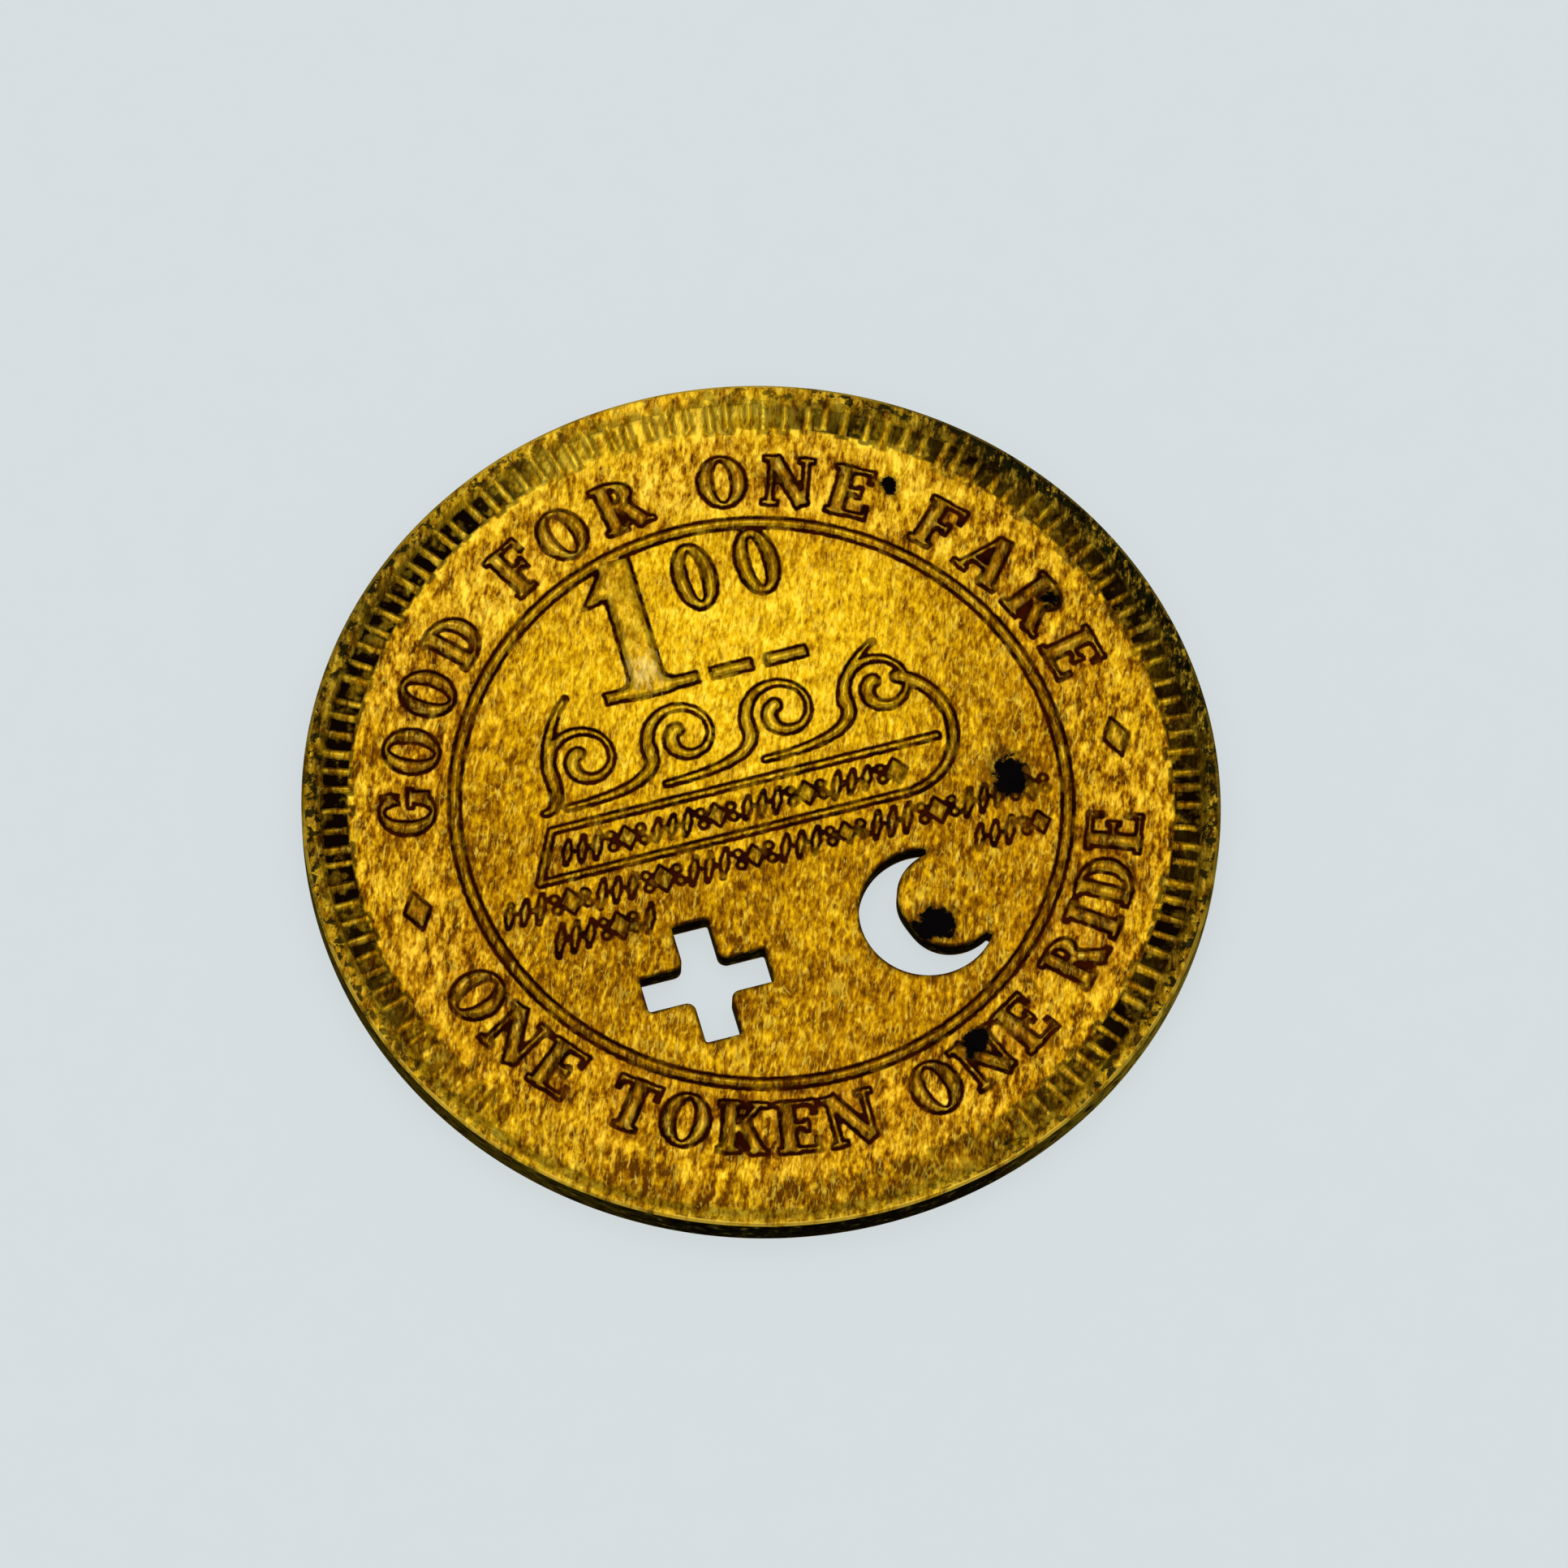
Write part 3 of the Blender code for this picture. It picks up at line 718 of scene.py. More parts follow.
def fill_points(face, cut_grid):
    """Loose points over the parts of the face that are far from every line."""
    count = math.ceil(2 * RADIUS / FILL_STEP) + 2
    i, j = np.meshgrid(np.arange(count), np.arange(count))
    x = (i + 0.5 * (j % 2) - count / 2) * FILL_STEP
    y = (j - count / 2) * FILL_STEP * math.sqrt(3) / 2
    points = np.column_stack((x.ravel(), y.ravel()))
    points += np.random.default_rng(SEED).uniform(-FILL_JITTER, FILL_JITTER, points.shape)
    points = points[np.hypot(*points.T) < RADIUS - EDGE_BEVEL - FILL_CLEAR]
    inside = np.maximum(face.sample(face.inside, points), rim_inside(points))
    cut = face.sample(cut_grid, points)
    away = (inside < LEVELS[0] - FILL_CLEAR) | (inside > LEVELS[-1] + FILL_CLEAR)
    return points[away & (cut < -CUT_ROUND - FILL_CLEAR)]


def face_mesh(face, cuts):
    """One face: its points, triangles and shared lines, and how far each point lies inside a cut."""
    cut_grid = np.full(face.inside.shape, -FAR)
    for outline in cuts:
        low, high = np.min(outline, 0), np.max(outline, 0)
        part = face.window((*low, *high))
        x, y = np.meshgrid(face.axis[part[1]], face.axis[part[0]])
        cut_grid[part] = np.maximum(cut_grid[part], polygon(x, y, outline))
    grid = np.stack(np.meshgrid(face.axis, face.axis), -1).reshape(-1, 2)
    union = np.maximum(face.inside, rim_inside(grid).reshape(face.inside.shape))
    union = np.where(cut_grid > -CUT_CLEAR, np.minimum(union, -FAR), union)
    shared = [circle(RADIUS - EDGE_BEVEL, EDGE_POINTS), *[np.array(o) for o in cuts]]
    lines = list(shared)
    lines += [thin_out(line, CUT_LONGEST) for line in trace(cut_grid, -CUT_ROUND, face.axis)]
    for level, longest in zip(LEVELS, LONGEST):
        lines += [thin_out(line, longest) for line in trace(union, level, face.axis)]
    loose = fill_points(face, cut_grid)
    edges, start = [], 0
    for line in lines:
        edges += [(start + k, start + (k + 1) % len(line)) for k in range(len(line))]
        start += len(line)
    given = np.concatenate((*lines, loose))
    made = delaunay_2d_cdt([Vector(p) for p in given], edges, [], 0, 1e-6)
    points = np.array(made[0])
    triangles = np.array(made[2])
    where = np.full(len(given), -1)
    for index, origins in enumerate(made[3]):
        where[origins] = index
    middle = points[triangles].mean(1)
    solid = face.sample(cut_grid, middle) < 0
    for outline in cuts:
        solid &= polygon(*middle.T, outline) <= 0
    triangles = triangles[solid]
    a, b, c = (points[triangles[:, k]] for k in range(3))
    flip = (b[:, 0] - a[:, 0]) * (c[:, 1] - a[:, 1]) < (b[:, 1] - a[:, 1]) * (c[:, 0] - a[:, 0])
    triangles[flip] = triangles[flip][:, ::-1]
    spans = np.cumsum([0] + [len(line) for line in shared])
    loops = [where[a:b] for a, b in zip(spans, spans[1:])]
    return points, triangles, loops, face.sample(cut_grid, points)


def wall(low_loop, high_loop, rings, first):
    """Quads between two loops through rings of new points. first is the first ring's number."""
    count = len(low_loop)
    rows = [low_loop] + [first + count * k + np.arange(count) for k in range(rings)] + [high_loop]
    quads = []
    for below, above in zip(rows, rows[1:]):
        quads.append(np.column_stack((below, np.roll(below, -1), np.roll(above, -1), above)))
    return np.concatenate(quads)


def side_rings(loop_points, top, bottom):
    """Rings of points down the rounded outer edge."""
    outward = loop_points / np.hypot(*loop_points.T)[:, None]
    steps = 4
    profile = []
    for i in range(1, steps + 1):
        a = math.pi / 2 * i / steps
        profile.append((RADIUS - EDGE_BEVEL + EDGE_BEVEL * math.sin(a), EDGE_BEVEL * (1 - math.cos(a))))
    lower = [(r, bottom + z) for r, z in profile]
    upper = [(r, top - z) for r, z in reversed(profile)]
    middle = [(RADIUS, bottom + (top - bottom) * f) for f in SIDE_ROWS]
    return [np.column_stack((outward * r, np.full(len(outward), z))) for r, z in lower + middle + upper]


def build_token(obverse, reverse):
    """One closed mesh of the whole token, with the values that the material reads at each point."""
    cuts = [plus_outline(), crescent_outline()]
    top = face_mesh(obverse, cuts)
    bottom = face_mesh(reverse, [[(-x, y) for x, y in outline] for outline in cuts])
    top_z = THICKNESS - FIELD_SINK + heights(obverse, top[0], top[3])
    bottom_z = FIELD_SINK - heights(reverse, bottom[0], bottom[3])
    upper = np.column_stack((top[0], top_z))
    lower = np.column_stack((-bottom[0][:, 0], bottom[0][:, 1], bottom_z))
    shift = len(upper)
    vertices = [upper, lower]
    values = {"relief": [], "cut": [top[3], bottom[3]], "kept": [kept(top[0]), kept(bottom[0])]}
    for face, made in ((obverse, top), (reverse, bottom)):
        values["relief"].append(np.maximum(face.sample(face.inside, made[0]), rim_inside(made[0])))
    # The reverse is drawn from below, so its circle runs the other way.
    mirrored = (EDGE_POINTS // 2 - np.arange(EDGE_POINTS)) % EDGE_POINTS
    edge = side_rings(top[0][top[2][0]], THICKNESS, 0.0)
    walls = [(bottom[2][0][mirrored] + shift, top[2][0], edge, -FAR)]
    for k in (1, 2):
        line, base = upper[top[2][k]], lower[bottom[2][k]]
        rings = [base + (line - base) * f for f in WALL_ROWS]
        walls.append((bottom[2][k] + shift, top[2][k], rings, 0.0))
    quads = []
    total = shift + len(lower)
    for low, high, rings, cut in walls:
        strip = wall(low, high, len(rings), total)
        quads.append(strip if cut < 0 else strip[:, ::-1])
        vertices += rings
        count = sum(len(ring) for ring in rings)
        total += count
        for name, value in (("relief", FAR), ("cut", cut), ("kept", 1.0)):
            values[name].append(np.full(count, value))
    values = {name: np.concatenate(parts) for name, parts in values.items()}
    return np.concatenate(vertices), [top[1], bottom[1] + shift], np.concatenate(quads), values


random = np.random.default_rng(SEED)
obverse = Face()
add_ring(obverse)
add_teeth(obverse, random)
add_words(obverse, TOP_WORDS, TOP_ARC, True)
add_words(obverse, BOTTOM_WORDS, BOTTOM_ARC, False)
add_diamonds(obverse)
add_numerals(obverse)
add_scroll(obverse)
add_ornaments(obverse, random)
reverse = Face()
add_ring(reverse)
add_teeth(reverse, random)
reverse.add(reverse_one, REVERSE_ONE_BOX, NUMERAL_RISE)

# ---------------------------------------------------------------- the object


def make_token():
    """The mesh object, with what the brass material needs to know stored on its points."""
    vertices, triangles, quads, values = build_token(obverse, reverse)
    mesh = bpy.data.meshes.new("struck_token")
    corners = np.concatenate((triangles[0].ravel(), triangles[1].ravel(), quads.ravel()))
    sizes = np.concatenate((np.full(len(triangles[0]) + len(triangles[1]), 3), np.full(len(quads), 4)))
    mesh.vertices.add(len(vertices))
    mesh.vertices.foreach_set("co", (vertices * MM).astype(np.float32).ravel())
    mesh.loops.add(len(corners))
    mesh.loops.foreach_set("vertex_index", corners.astype(np.int32))
    mesh.polygons.add(len(sizes))
    mesh.polygons.foreach_set("loop_start", (np.cumsum(sizes) - sizes).astype(np.int32))
    mesh.update(calc_edges=True)
    for name, value in values.items():
        mesh.attributes.new(name, "FLOAT", "POINT").data.foreach_set("value", value.astype(np.float32))
    mesh.shade_smooth()
    item = bpy.data.objects.new("struck_token", mesh)
    bpy.context.scene.collection.objects.link(item)
    return item


# ---------------------------------------------------------------- materials

# Colours along the tone of the metal, from dark to bright.
FIELD_RAMP = [(0.0, (0.13, 0.04, 0.001)), (0.25, (0.34, 0.14, 0.0015)), (0.5, (0.60, 0.32, 0.003)),
              (0.75, (0.83, 0.49, 0.006)), (1.0, (0.97, 0.66, 0.04))]
LEGEND_RAMP = [(0.0, (0.08, 0.02, 0.001)), (0.2, (0.28, 0.10, 0.0015)), (0.45, (0.63, 0.32, 0.006)),
               (0.85, (0.97, 0.63, 0.05))]
ORANGE_RAMP = [(0.0, (0.12, 0.03, 0.001)), (0.5, (0.50, 0.20, 0.002)), (1.0, (0.90, 0.50, 0.02))]
TOP_RAMP = [(0.0, (0.05, 0.022, 0.001)), (0.5, (0.24, 0.12, 0.003)), (1.0, (0.58, 0.36, 0.012))]
SMUDGE_RAMP = [(0.0, (0.06, 0.012, 0.001)), (0.5, (0.34, 0.11, 0.002)), (1.0, (0.75, 0.38, 0.01))]
# Colours along a noise.
PATINA_RAMP = [(0.42, (0.002, 0.0025, 0.001)), (0.48, (0.012, 0.007, 0.0015)),
               (0.54, (0.10, 0.055, 0.003)), (0.63, (0.46, 0.30, 0.02))]
GRIME_RAMP = [(0.4, (0.022, 0.003, 0.001)), (0.6, (0.065, 0.009, 0.001))]
WALL_RAMP = [(0.42, (0.002, 0.003, 0.002)), (0.58, (0.010, 0.012, 0.005)), (0.72, (0.14, 0.10, 0.02))]
PAPER_RAMP = [(0.3, (0.138, 0.148, 0.152)), (0.7, (0.144, 0.154, 0.158))]
# Plain colours.
RUBBED_HIGHLIGHT = (0.96, 0.67, 0.08, 1)
GLINT_FLECK = (0.97, 0.66, 0.07, 1)
DARK_FLECK = (0.20, 0.075, 0.002, 1)
GLINT_SCRATCH = (0.98, 0.69, 0.05, 1)
DARK_SCRATCH = (0.24, 0.09, 0.002, 1)
SOOT = (0.008, 0.008, 0.002, 1)
TOOTH_GRIME = (0.008, 0.003, 0.001, 1)
HALO = (0.06, 0.022, 0.002, 1)
BLACK = (0.004, 0.003, 0.003, 1)
PALE = (0.92, 0.70, 0.20, 1)
BARE_EDGE_HIGHLIGHT = (0.80, 0.52, 0.05, 1)
BARE_SIDE = (0.30, 0.20, 0.02, 1)
PAPER_GLOW = (0.672, 0.727, 0.747, 1)
# Fine scratches: size, warp, and the noise levels of the bright and the dark ones. The bright ones are
# painted glints.
SCRATCHES = ((0.32, 1.0, 0.54, 0.45), (0.55, 1.6, 0.50, 0.57))


class Nodes:
    """A short way to write a material's nodes. Places on the surface are in millimetres."""

    def __init__(self, name):
        self.material = bpy.data.materials.new(name)
        self.material.use_nodes = True
        self.tree = self.material.node_tree
        self.shader = self.tree.nodes["Principled BSDF"]
        self.place = self.add("VectorMath", self.add("TexCoord", out=3), (1 / MM,) * 3,
                              operation="MULTIPLY")

    def put(self, socket, value):
        """Set a socket, or link one to it."""
        if isinstance(value, bpy.types.NodeSocket):
            self.tree.links.new(value, socket)
        else:
            socket.default_value = value

    def add(self, kind, *values, out=0, **settings):
        """Add a node, fill its first inputs, and give one output."""
        node = self.tree.nodes.new("ShaderNode" + kind)
        for name, value in settings.items():
            setattr(node, name, value)
        for socket, value in zip(node.inputs, values):
            if value is not None:
                self.put(socket, value)
        return node.outputs[out]

    def join(self, operation, first, *others):
        """Numbers put together in turn by one operation."""
        for other in others:
            first = self.add("Math", first, other, operation=operation)
        return first

    def times(self, *values):
        """The product of numbers."""
        return self.join("MULTIPLY", *values)

    def rest(self, value):
        """What is left of one after a value is taken off."""
        return self.join("SUBTRACT", 1.0, value)

    def waver(self, value, noise, amount):
        """A value moved up and down by a noise."""
        return self.join("ADD", value, self.times(self.join("SUBTRACT", noise, 0.5), amount))

    def band(self, value, low, high, first=0.0, last=1.0):
        """A smooth step of value from low to high."""
        return self.add("MapRange", value, low, high, first, last, interpolation_type="SMOOTHSTEP")

    def mix(self, factor, a, b):
        """Between two colours."""
        node = self.tree.nodes.new("ShaderNodeMix")
        node.data_type = "RGBA"
        for k, value in ((0, factor), (6, a), (7, b)):
            self.put(node.inputs[k], value)
        return node.outputs[2]

    def noise(self, size, detail=3.0, rough=0.55, turn=0.0, warp=0.0):
        """Noise whose lumps are this size in millimetres, turned about Z."""
        size = size if isinstance(size, tuple) else (size,) * 3
        spot = self.add("Mapping", self.place, None, (0, 0, turn), size, vector_type="TEXTURE")
        return self.add("TexNoise", spot, None, 1.0, detail, rough, None, None, warp)

    def streak(self, size, detail, rough, warp):
        """Noise drawn out along the streaks of the metal."""
        return self.noise(size, detail, rough, STREAK_TURN, warp)

    def ramp(self, value, stops):
        """Colours or greys along a value."""
        node = self.tree.nodes.new("ShaderNodeValToRGB")
        self.put(node.inputs[0], value)
        elements = node.color_ramp.elements
        while len(elements) < len(stops):
            elements.new(0.5)
        for element, (position, colour) in zip(elements, stops):
            element.position = position
            element.color = (*(colour if isinstance(colour, tuple) else (colour,) * 3), 1)
        return node.outputs[0]


class Brass(Nodes):
    """The places and values that the layers of the brass share."""

    def __init__(self):
        super().__init__("worn_brass")
        x, self.y = (self.add("SeparateXYZ", self.place, out=k) for k in range(2))
        self.flat = self.add("CombineXYZ", x, self.y, 0.0)
        self.radius = self.add("VectorMath", self.flat, operation="LENGTH", out=1)
        self.relief, self.cut, self.left = (self.add("Attribute", attribute_name=name, out=2)
                                            for name in ("relief", "cut", "kept"))
        half_turn = self.add("VectorMath", self.flat, (-1, -1, 1), operation="MULTIPLY")
        self.around = self.add("TexGradient", half_turn, gradient_type="RADIAL")
        # How heavy the rim patina is at each turn; its heavier stretches are painted shade as well as
        # patina.
        self.rim_patina_and_shade = self.along_rim(RIM_PATINA_AND_SHADE)
        self.legend = self.zone(11.9, 12.6)
        self.outside = self.zone(17.3, 17.45)
        # Short streaks all run one way over the faces.
        self.streaks = self.streak((0.34, 1.0, 1.0), 3, 0.6, 2.0)
        self.grain = self.streak((0.16, 0.38, 0.4), 2, 0.6, 1.8)
        self.tone = self.make_tone()

    def zone(self, low, high, first=0.0, last=1.0):
        """A smooth step outwards between two radii."""
        return self.band(self.radius, low, high, first, last)

    def along_rim(self, values):
        """A grey that changes with the turn from +X."""
        return self.ramp(self.around, list(zip(RIM_TURNS, values)))

    def make_tone(self):
        """How bright the metal is, from 0 to 1, with painted light and shade in it."""
        patches = self.noise(1.7, 3, 0.6, 0, 0.6)
        tone = self.join("ADD", self.times(self.streaks, 0.27), self.times(patches, 0.17),
                         self.times(self.grain, 0.38))
        tone = self.add("MapRange", tone, 0.28, 0.54, 0.0, 1.0)
        # Larger curls, strongest in the legend.
        curls = self.streak((0.4, 1.0, 1.0), 3, 0.6, 4.0)
        tone = self.waver(tone, curls, self.zone(10.5, 12.8, 0.4, 1.7))
        # The middle of the upper field is the brightest, a painted highlight, and the lower field is
        # duller, painted shade.
        away = self.add("VectorMath", self.flat, (0.5, 6.0, 0), operation="SUBTRACT")
        away = self.add("VectorMath", away, (1 / 11, 1 / 9, 1), operation="MULTIPLY")
        away = self.add("VectorMath", away, operation="LENGTH", out=1)
        rim = self.add("Mix", self.zone(16.6, 16.9), None, self.along_rim(TOOTH_TONE),
                       self.along_rim(RIM_TONE))
        rim = self.times(self.join("SUBTRACT", rim, 0.5), self.zone(15.2, 15.8, 0.0, 0.8))
        legend = self.times(self.legend, self.band(self.y, 6.0, 13.0, 0.07, 0.14))
        return self.join("ADD", tone, self.band(away, 0.1, 1.3, 0.19, -0.22), rim, legend)


# Each layer takes the brass and the colour so far, and gives the next colour.


def metal(n, colour):
    """Golden fields, a warmer legend, and orange tints mostly towards the rim."""
    warm = n.times(n.legend, n.band(n.noise(2.8, 3), 0.35, 0.65, 0.2, 0.9),
                   n.zone(15.2, 15.8, 1.0, 0.45))
    colour = n.mix(warm, colour, n.ramp(n.tone, LEGEND_RAMP))
    orange = n.times(n.band(n.noise(3.4, 2), 0.48, 0.62, 0.0, 0.4), n.zone(5.0, 12.5),
                     n.band(n.y, -4.0, 12.0, 1.0, 0.6))
    return n.mix(orange, colour, n.ramp(n.tone, ORANGE_RAMP))


def tops(n, colour):
    """The tops of the relief are duller than the field, and rubbed bright in places, which is painted
    highlight as well as wear.
    """
    ring = n.times(n.zone(11.1, 11.4), n.zone(11.95, 12.2, 0.8, 0.0))
    scroll = n.times(n.band(n.y, 0.6, 1.0), n.band(n.y, 4.8, 5.2, 0.55, 0.0),
                     n.zone(10.8, 11.2, 1.0, 0.0))
    top = n.times(n.band(n.relief, 0.03, 0.12), n.band(n.noise(1.3, 2), 0.35, 0.6, 0.75, 0.25),
                  n.zone(TOOTH_INNER - 0.5, TOOTH_INNER, 1.0, 0.1), n.rest(ring), n.rest(scroll))
    colour = n.mix(top, colour, n.ramp(n.tone, TOP_RAMP))
    # Bright patches on the legend's relief: painted highlights as well as rubbed metal.
    rubbed = n.times(n.band(n.streak((0.35, 0.9, 0.5), 3, 0.6, 1.0), 0.56, 0.66, 0.0, 0.5),
                     n.band(n.relief, -0.05, 0.06), n.legend, n.zone(14.8, 15.2, 1.0, 0.0))
    return n.mix(rubbed, colour, RUBBED_HIGHLIGHT)


def flecks(n, colour):
    """Small flecks and fine broken scratches, some bright and some dark; the bright ones are painted
    glints.
    """
    fleck = n.streak((0.18, 0.6, 0.4), 2, 0.5, 1.2)
    # Bright flecks: painted glints.
    colour = n.mix(n.band(fleck, 0.60, 0.70, 0.0, 0.5), colour, GLINT_FLECK)
    colour = n.mix(n.band(fleck, 0.31, 0.40, 0.55, 0.0), colour, DARK_FLECK)
    for size, warp, bright, dark in SCRATCHES:
        swirl = n.streak((size, size * 4, size * 4), 2, 0.5, warp)
        broken = n.band(n.noise(size * 1.6, 2), 0.46, 0.58)
        # The bright scratches are painted glints, the dark ones dark marks.
        for level, weight, tint in ((bright, 0.34, GLINT_SCRATCH), (dark, 0.5, DARK_SCRATCH)):
            off = n.add("Math", n.join("SUBTRACT", swirl, level), operation="ABSOLUTE")
            colour = n.mix(n.times(n.band(off, 0.008, 0.03, weight, 0.0), broken), colour, tint)
    return colour


def patina(n, colour):
    """Brown round the rim and the denticles, heavier on some stretches, and black near the edge.
    The heavier stretches are painted shade as well as patina.
    """
    n.rim = n.times(n.band(n.waver(n.radius, n.noise(1.1, 3), 1.6), 15.6, 17.1), n.rim_patina_and_shade)
    colour = n.mix(n.rim, colour, n.ramp(n.streak((0.22, 0.6, 0.5), 4, 0.7, 1.0), PATINA_RAMP))
    soot = n.times(n.band(n.waver(n.radius, n.noise(1.3, 3), 1.6), 16.6, 17.1),
                   n.band(n.noise(0.45, 4, 0.65), 0.49, 0.56), n.band(n.rim_patina_and_shade, 0.0, 0.5, 0.25, 0.95))
    return n.mix(soot, colour, SOOT)


def smudges(n, colour):
    """Wide brown smudges around the relief, mostly in the legend."""
    smudge = n.times(n.band(n.waver(n.relief, n.noise(0.5, 3), 0.9), -0.45, -0.05),
                     n.band(n.noise(1.9, 3), 0.42, 0.58, 0.1, 0.6), n.zone(11.0, 12.4, 0.3, 1.0),
                     n.zone(TOOTH_INNER - 0.8, TOOTH_INNER, 1.0, 0.0))
    return n.mix(smudge, colour, n.ramp(n.tone, SMUDGE_RAMP))


def foot_dirt(n, colour):
    """A dark line along the foot of all relief, broken where it has been rubbed off."""
    foot = n.waver(n.relief, n.noise(0.3, 2), 0.12)
    soiled = n.band(n.rim_patina_and_shade, 0.0, 0.5)
    clean = n.times(n.join("SUBTRACT", 0.65, n.times(soiled, 0.35)),
                    n.zone(TOOTH_INNER - 0.5, TOOTH_INNER))
    line = n.times(n.band(foot, -0.15, -0.06), n.band(foot, 0.03, 0.09, 1.0, 0.0),
                   n.band(n.noise(1.0, 3), 0.34, 0.48, 0.65, 1.0), n.rest(clean))
    pits = n.times(n.band(foot, 0.0, 0.05, 1.0, 0.0), n.zone(TOOTH_INNER, TOOTH_INNER + 0.15),
                   n.band(n.noise(0.7, 3), 0.36, 0.50, 0.7, 1.0), soiled)
    line = n.times(n.join("MAXIMUM", line, pits), n.band(n.left, 0.1, 0.8))
    lip = n.times(n.band(n.cut, -0.16, -0.03), n.band(n.noise(1.1, 3), 0.42, 0.56, 0.1, 0.9))
    n.dirt = n.join("MAXIMUM", line, lip)
    grime = n.mix(n.zone(TOOTH_INNER - 0.3, TOOTH_INNER), n.ramp(n.noise(0.8, 2), GRIME_RAMP),
                  TOOTH_GRIME)
    return n.mix(n.dirt, colour, grime)


def spots(n, colour):
    """Brown halos of the black blotches, and a pale rubbed spot at the foot of the figure 1."""
    halo = n.blots = 0.0
    for spot_x, spot_y, reach in BLOTCHES:
        away = n.add("VectorMath", n.flat, (spot_x, spot_y, 0), operation="DISTANCE", out=1)
        away = n.waver(away, n.noise(0.9, 5, 0.7), reach * 2.4)
        n.blots = n.join("MAXIMUM", n.blots, n.band(away, reach * 0.65, reach * 0.85, 1.0, 0.0))
        halo = n.join("MAXIMUM", halo, n.band(away, reach * 0.8, reach * 1.3, 0.6, 0.0))
    colour = n.mix(halo, colour, HALO)
    away = n.add("VectorMath", n.flat, (*PALE_SPOT, 0), operation="DISTANCE", out=1)
    away = n.waver(away, n.noise((0.14, 0.6, 0.4), 3), 2.6)
    return n.mix(n.band(away, 0.2, 0.8, 0.5, 0.0), colour, PALE)


def sides(n, colour):
    """A rounded edge rubbed bare and painted bright as a highlight, the black blotches, and nearly black
    side and cut walls.
    """
    # A bright line along the rounded edge: painted highlight as well as bare metal.
    edge = n.times(n.zone(17.34, 17.40), n.band(n.noise(0.9, 3), 0.42, 0.55, 0.1, 0.8),
                   n.band(n.rim_patina_and_shade, 0.3, 0.9, 1.0, 0.2))
    colour = n.mix(n.blots, n.mix(edge, colour, BARE_EDGE_HIGHLIGHT), BLACK)
    normal_z = n.add("SeparateXYZ", n.add("NewGeometry", out=1), out=2)
    upright = n.band(n.add("Math", normal_z, operation="ABSOLUTE"), 0.2, 0.5, 1.0, 0.0)
    n.steep = n.times(upright, n.join("MAXIMUM", n.band(n.cut, -0.3, -0.2), n.outside))
    bare = n.times(n.ramp(n.around, SIDE_BARE), n.band(n.noise((0.6, 0.6, 0.15), 3), 0.38, 0.55),
                   n.outside)
    walls = n.ramp(n.noise((0.5, 0.5, 0.3), 4, 0.6), WALL_RAMP)
    return n.mix(n.steep, colour, n.mix(bare, walls, BARE_SIDE))


def make_brass():
    """Worn struck brass: golden fields, brown rims, dirt along every foot, black cut walls."""
    n = Brass()
    colour = n.ramp(n.tone, FIELD_RAMP)
    for layer in (metal, tops, flecks, patina, smudges, foot_dirt, spots, sides):
        colour = layer(n, colour)
    n.put(n.shader.inputs["Base Color"], colour)
    n.shader.inputs["Metallic"].default_value = 1.0
    n.shader.inputs["Specular Tint"].default_value = EDGE_TINT
    dark = n.join("MAXIMUM", n.dirt, n.blots, n.steep)
    rough = n.join("MAXIMUM", n.add("MapRange", n.tone, 0.0, 1.0, 0.48, 0.30), n.times(dark, 0.7),
                   n.times(n.rim, 0.55))
    n.put(n.shader.inputs["Roughness"], rough)
    bump = n.tree.nodes.new("ShaderNodeBump")
    bump.inputs["Strength"].default_value = 0.6
    bump.inputs["Distance"].default_value = BUMP_HEIGHT * MM
    n.put(bump.inputs["Height"], n.join("ADD", n.times(n.streaks, 0.6), n.times(n.grain, 0.4)))
    n.put(n.shader.inputs["Normal"], bump.outputs[0])
    return n.material


def make_paper():
    """Plain pale paper."""
    n = Nodes("pale_paper")
    n.put(n.shader.inputs["Base Color"], n.ramp(n.noise(1.7, 4, 0.6), PAPER_RAMP))
    n.shader.inputs["Roughness"].default_value = 0.9
    n.shader.inputs["Specular IOR Level"].default_value = 0.2
    n.shader.inputs["Emission Color"].default_value = PAPER_GLOW
    n.shader.inputs["Emission Strength"].default_value = 0.85
    return n.material


# ---------------------------------------------------------------- stage


def make_floor():
    """A flat sheet under the token."""
    half, gap = 2.0, 0.02 * MM
    mesh = bpy.data.meshes.new("floor")
    corners = [(x * half, y * half, 0) for x, y in ((-1, -1), (1, -1), (1, 1), (-1, 1))]
    mesh.from_pydata(corners, [], [(0, 1, 2, 3)])
    floor = bpy.data.objects.new("floor", mesh)
    floor.location.z = cad_box[0][2] - gap
    bpy.context.scene.collection.objects.link(floor)
    mesh.materials.append(make_paper())


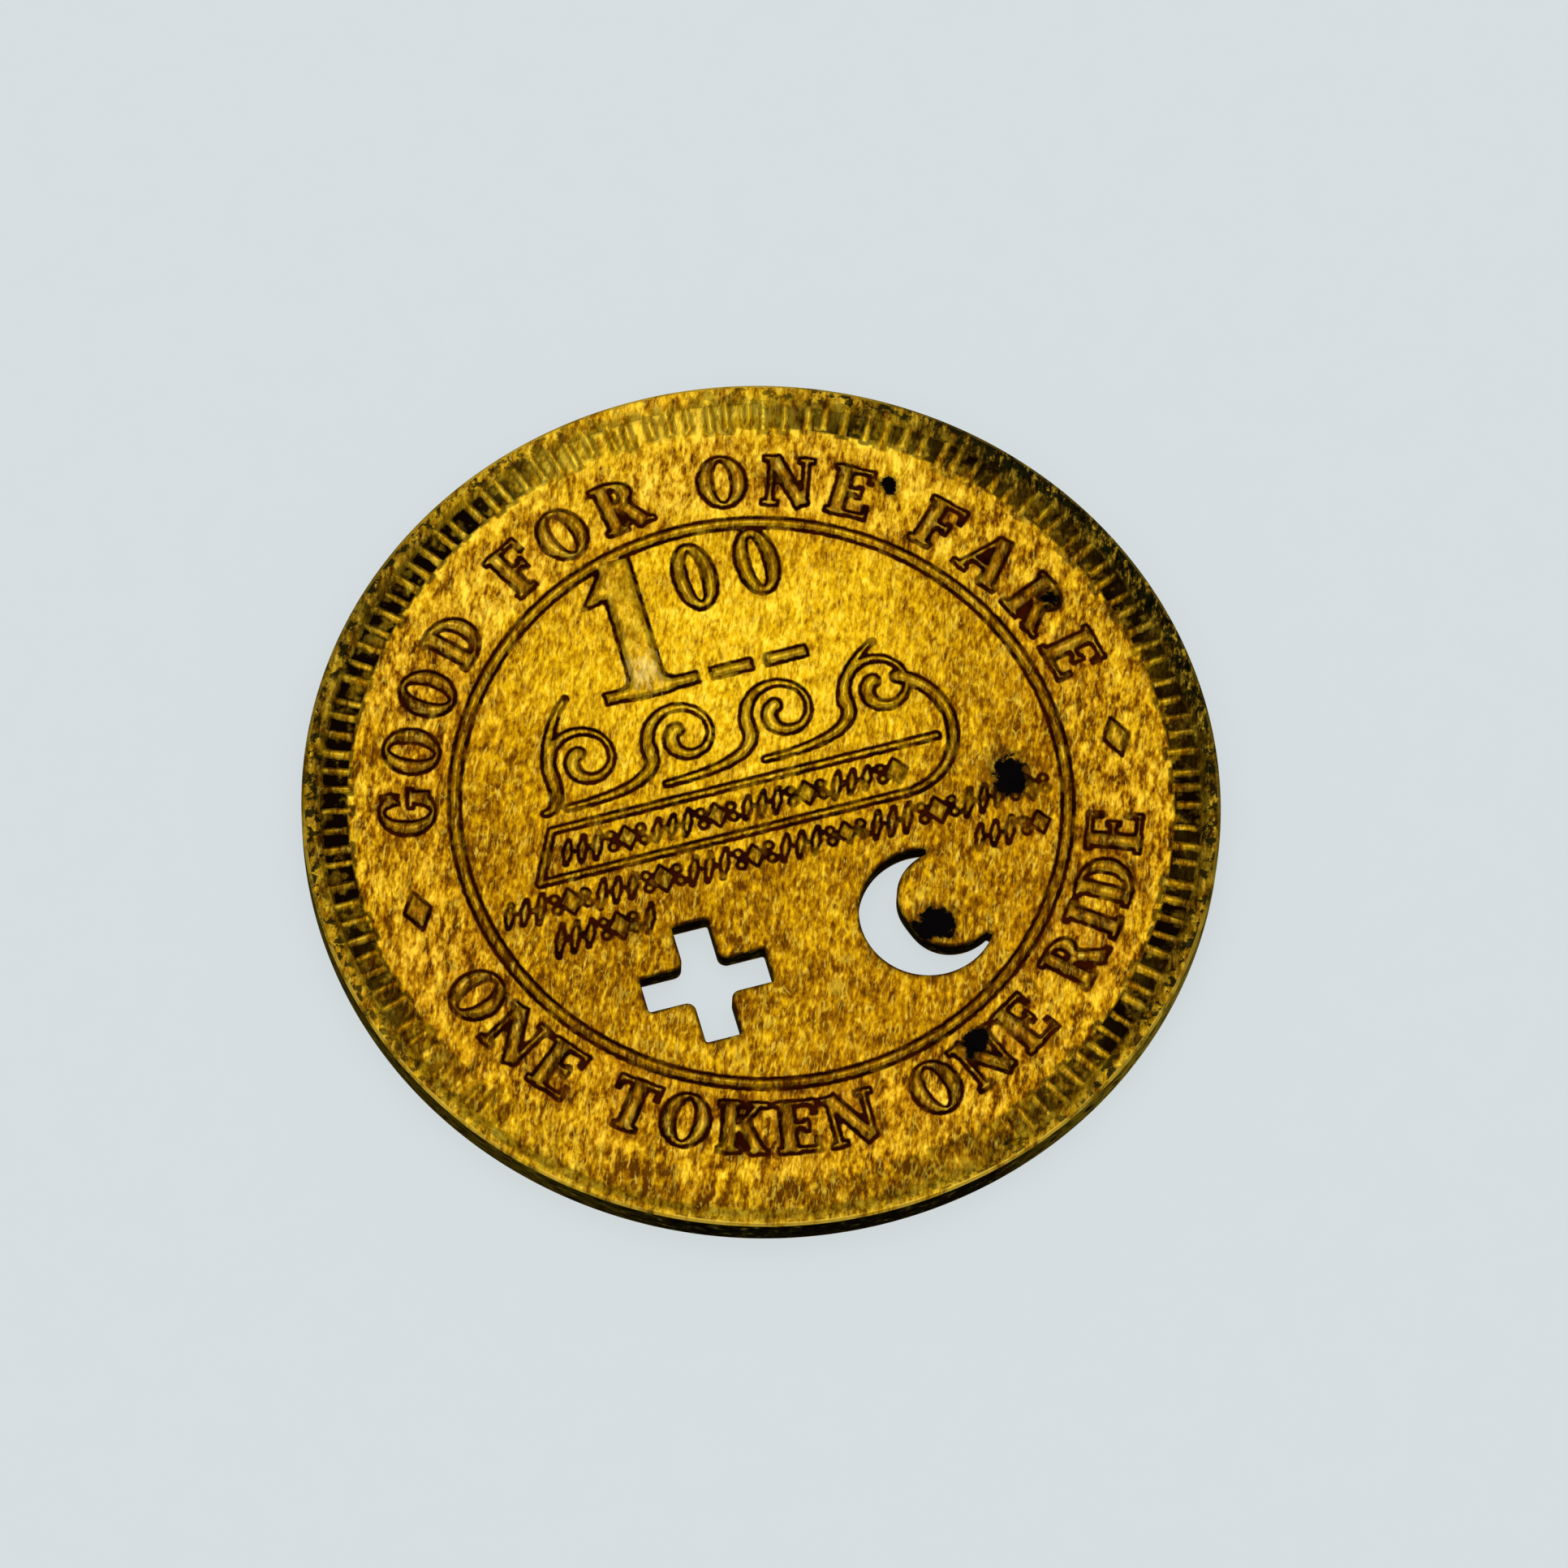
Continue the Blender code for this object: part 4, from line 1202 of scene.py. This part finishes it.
def look_from(azimuth, elevation):
    """Unit vector towards a point seen at an azimuth and elevation. Azimuth 0 is on the -Y side."""
    a, e = math.radians(azimuth), math.radians(elevation)
    return Vector((math.sin(a) * math.cos(e), -math.cos(a) * math.cos(e), math.sin(e)))


def make_light(name, azimuth, elevation, distance, size, power):
    """A square soft light aimed at the token."""
    data = bpy.data.lights.new(name, "AREA")
    data.shape = "SQUARE"
    data.size = size
    data.energy = power
    lamp = bpy.data.objects.new(name, data)
    lamp.location = look_from(azimuth, elevation) * distance
    lamp.rotation_euler = lamp.location.to_track_quat("Z", "Y").to_euler()
    bpy.context.scene.collection.objects.link(lamp)


def make_camera():
    """A long lens at the token's viewing angle."""
    data = bpy.data.cameras.new("camera")
    data.lens = SENSOR * CAMERA_DISTANCE / FRAME_WIDTH
    data.sensor_width = SENSOR
    data.clip_start = 0.01
    camera = bpy.data.objects.new("camera", data)
    away = look_from(CAMERA_AZIMUTH, CAMERA_ELEVATION)
    turn = away.to_track_quat("Z", "Y").to_matrix()
    roll = math.radians(CAMERA_ROLL)
    right = turn @ Vector((math.cos(roll), math.sin(roll), 0))
    up = turn @ Vector((-math.sin(roll), math.cos(roll), 0))
    aim = Vector((0, 0, THICKNESS)) + AIM_RIGHT * right + AIM_UP * up
    pose = turn.to_4x4()
    for row in range(3):
        pose[row][0], pose[row][1] = right[row], up[row]
        pose[row][3] = (aim[row] + away[row] * CAMERA_DISTANCE) * MM
    camera.matrix_world = pose
    bpy.context.scene.collection.objects.link(camera)
    bpy.context.scene.camera = camera


def make_world():
    """An even pale surround."""
    world = bpy.data.worlds.new("surround")
    world.use_nodes = True
    background = world.node_tree.nodes["Background"]
    background.inputs["Color"].default_value = SURROUND
    background.inputs["Strength"].default_value = SURROUND_STRENGTH
    bpy.context.scene.world = world


token = make_token()
token.data.materials.append(make_brass())
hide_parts("token")
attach(token, "root")
make_floor()
make_light("key", azimuth=161.5, elevation=80, distance=0.55, size=0.5, power=0.78)
make_light("fill", azimuth=-60, elevation=40, distance=0.6, size=0.3, power=0.15)
make_world()
make_camera()
bpy.context.scene.view_settings.view_transform = "Standard"
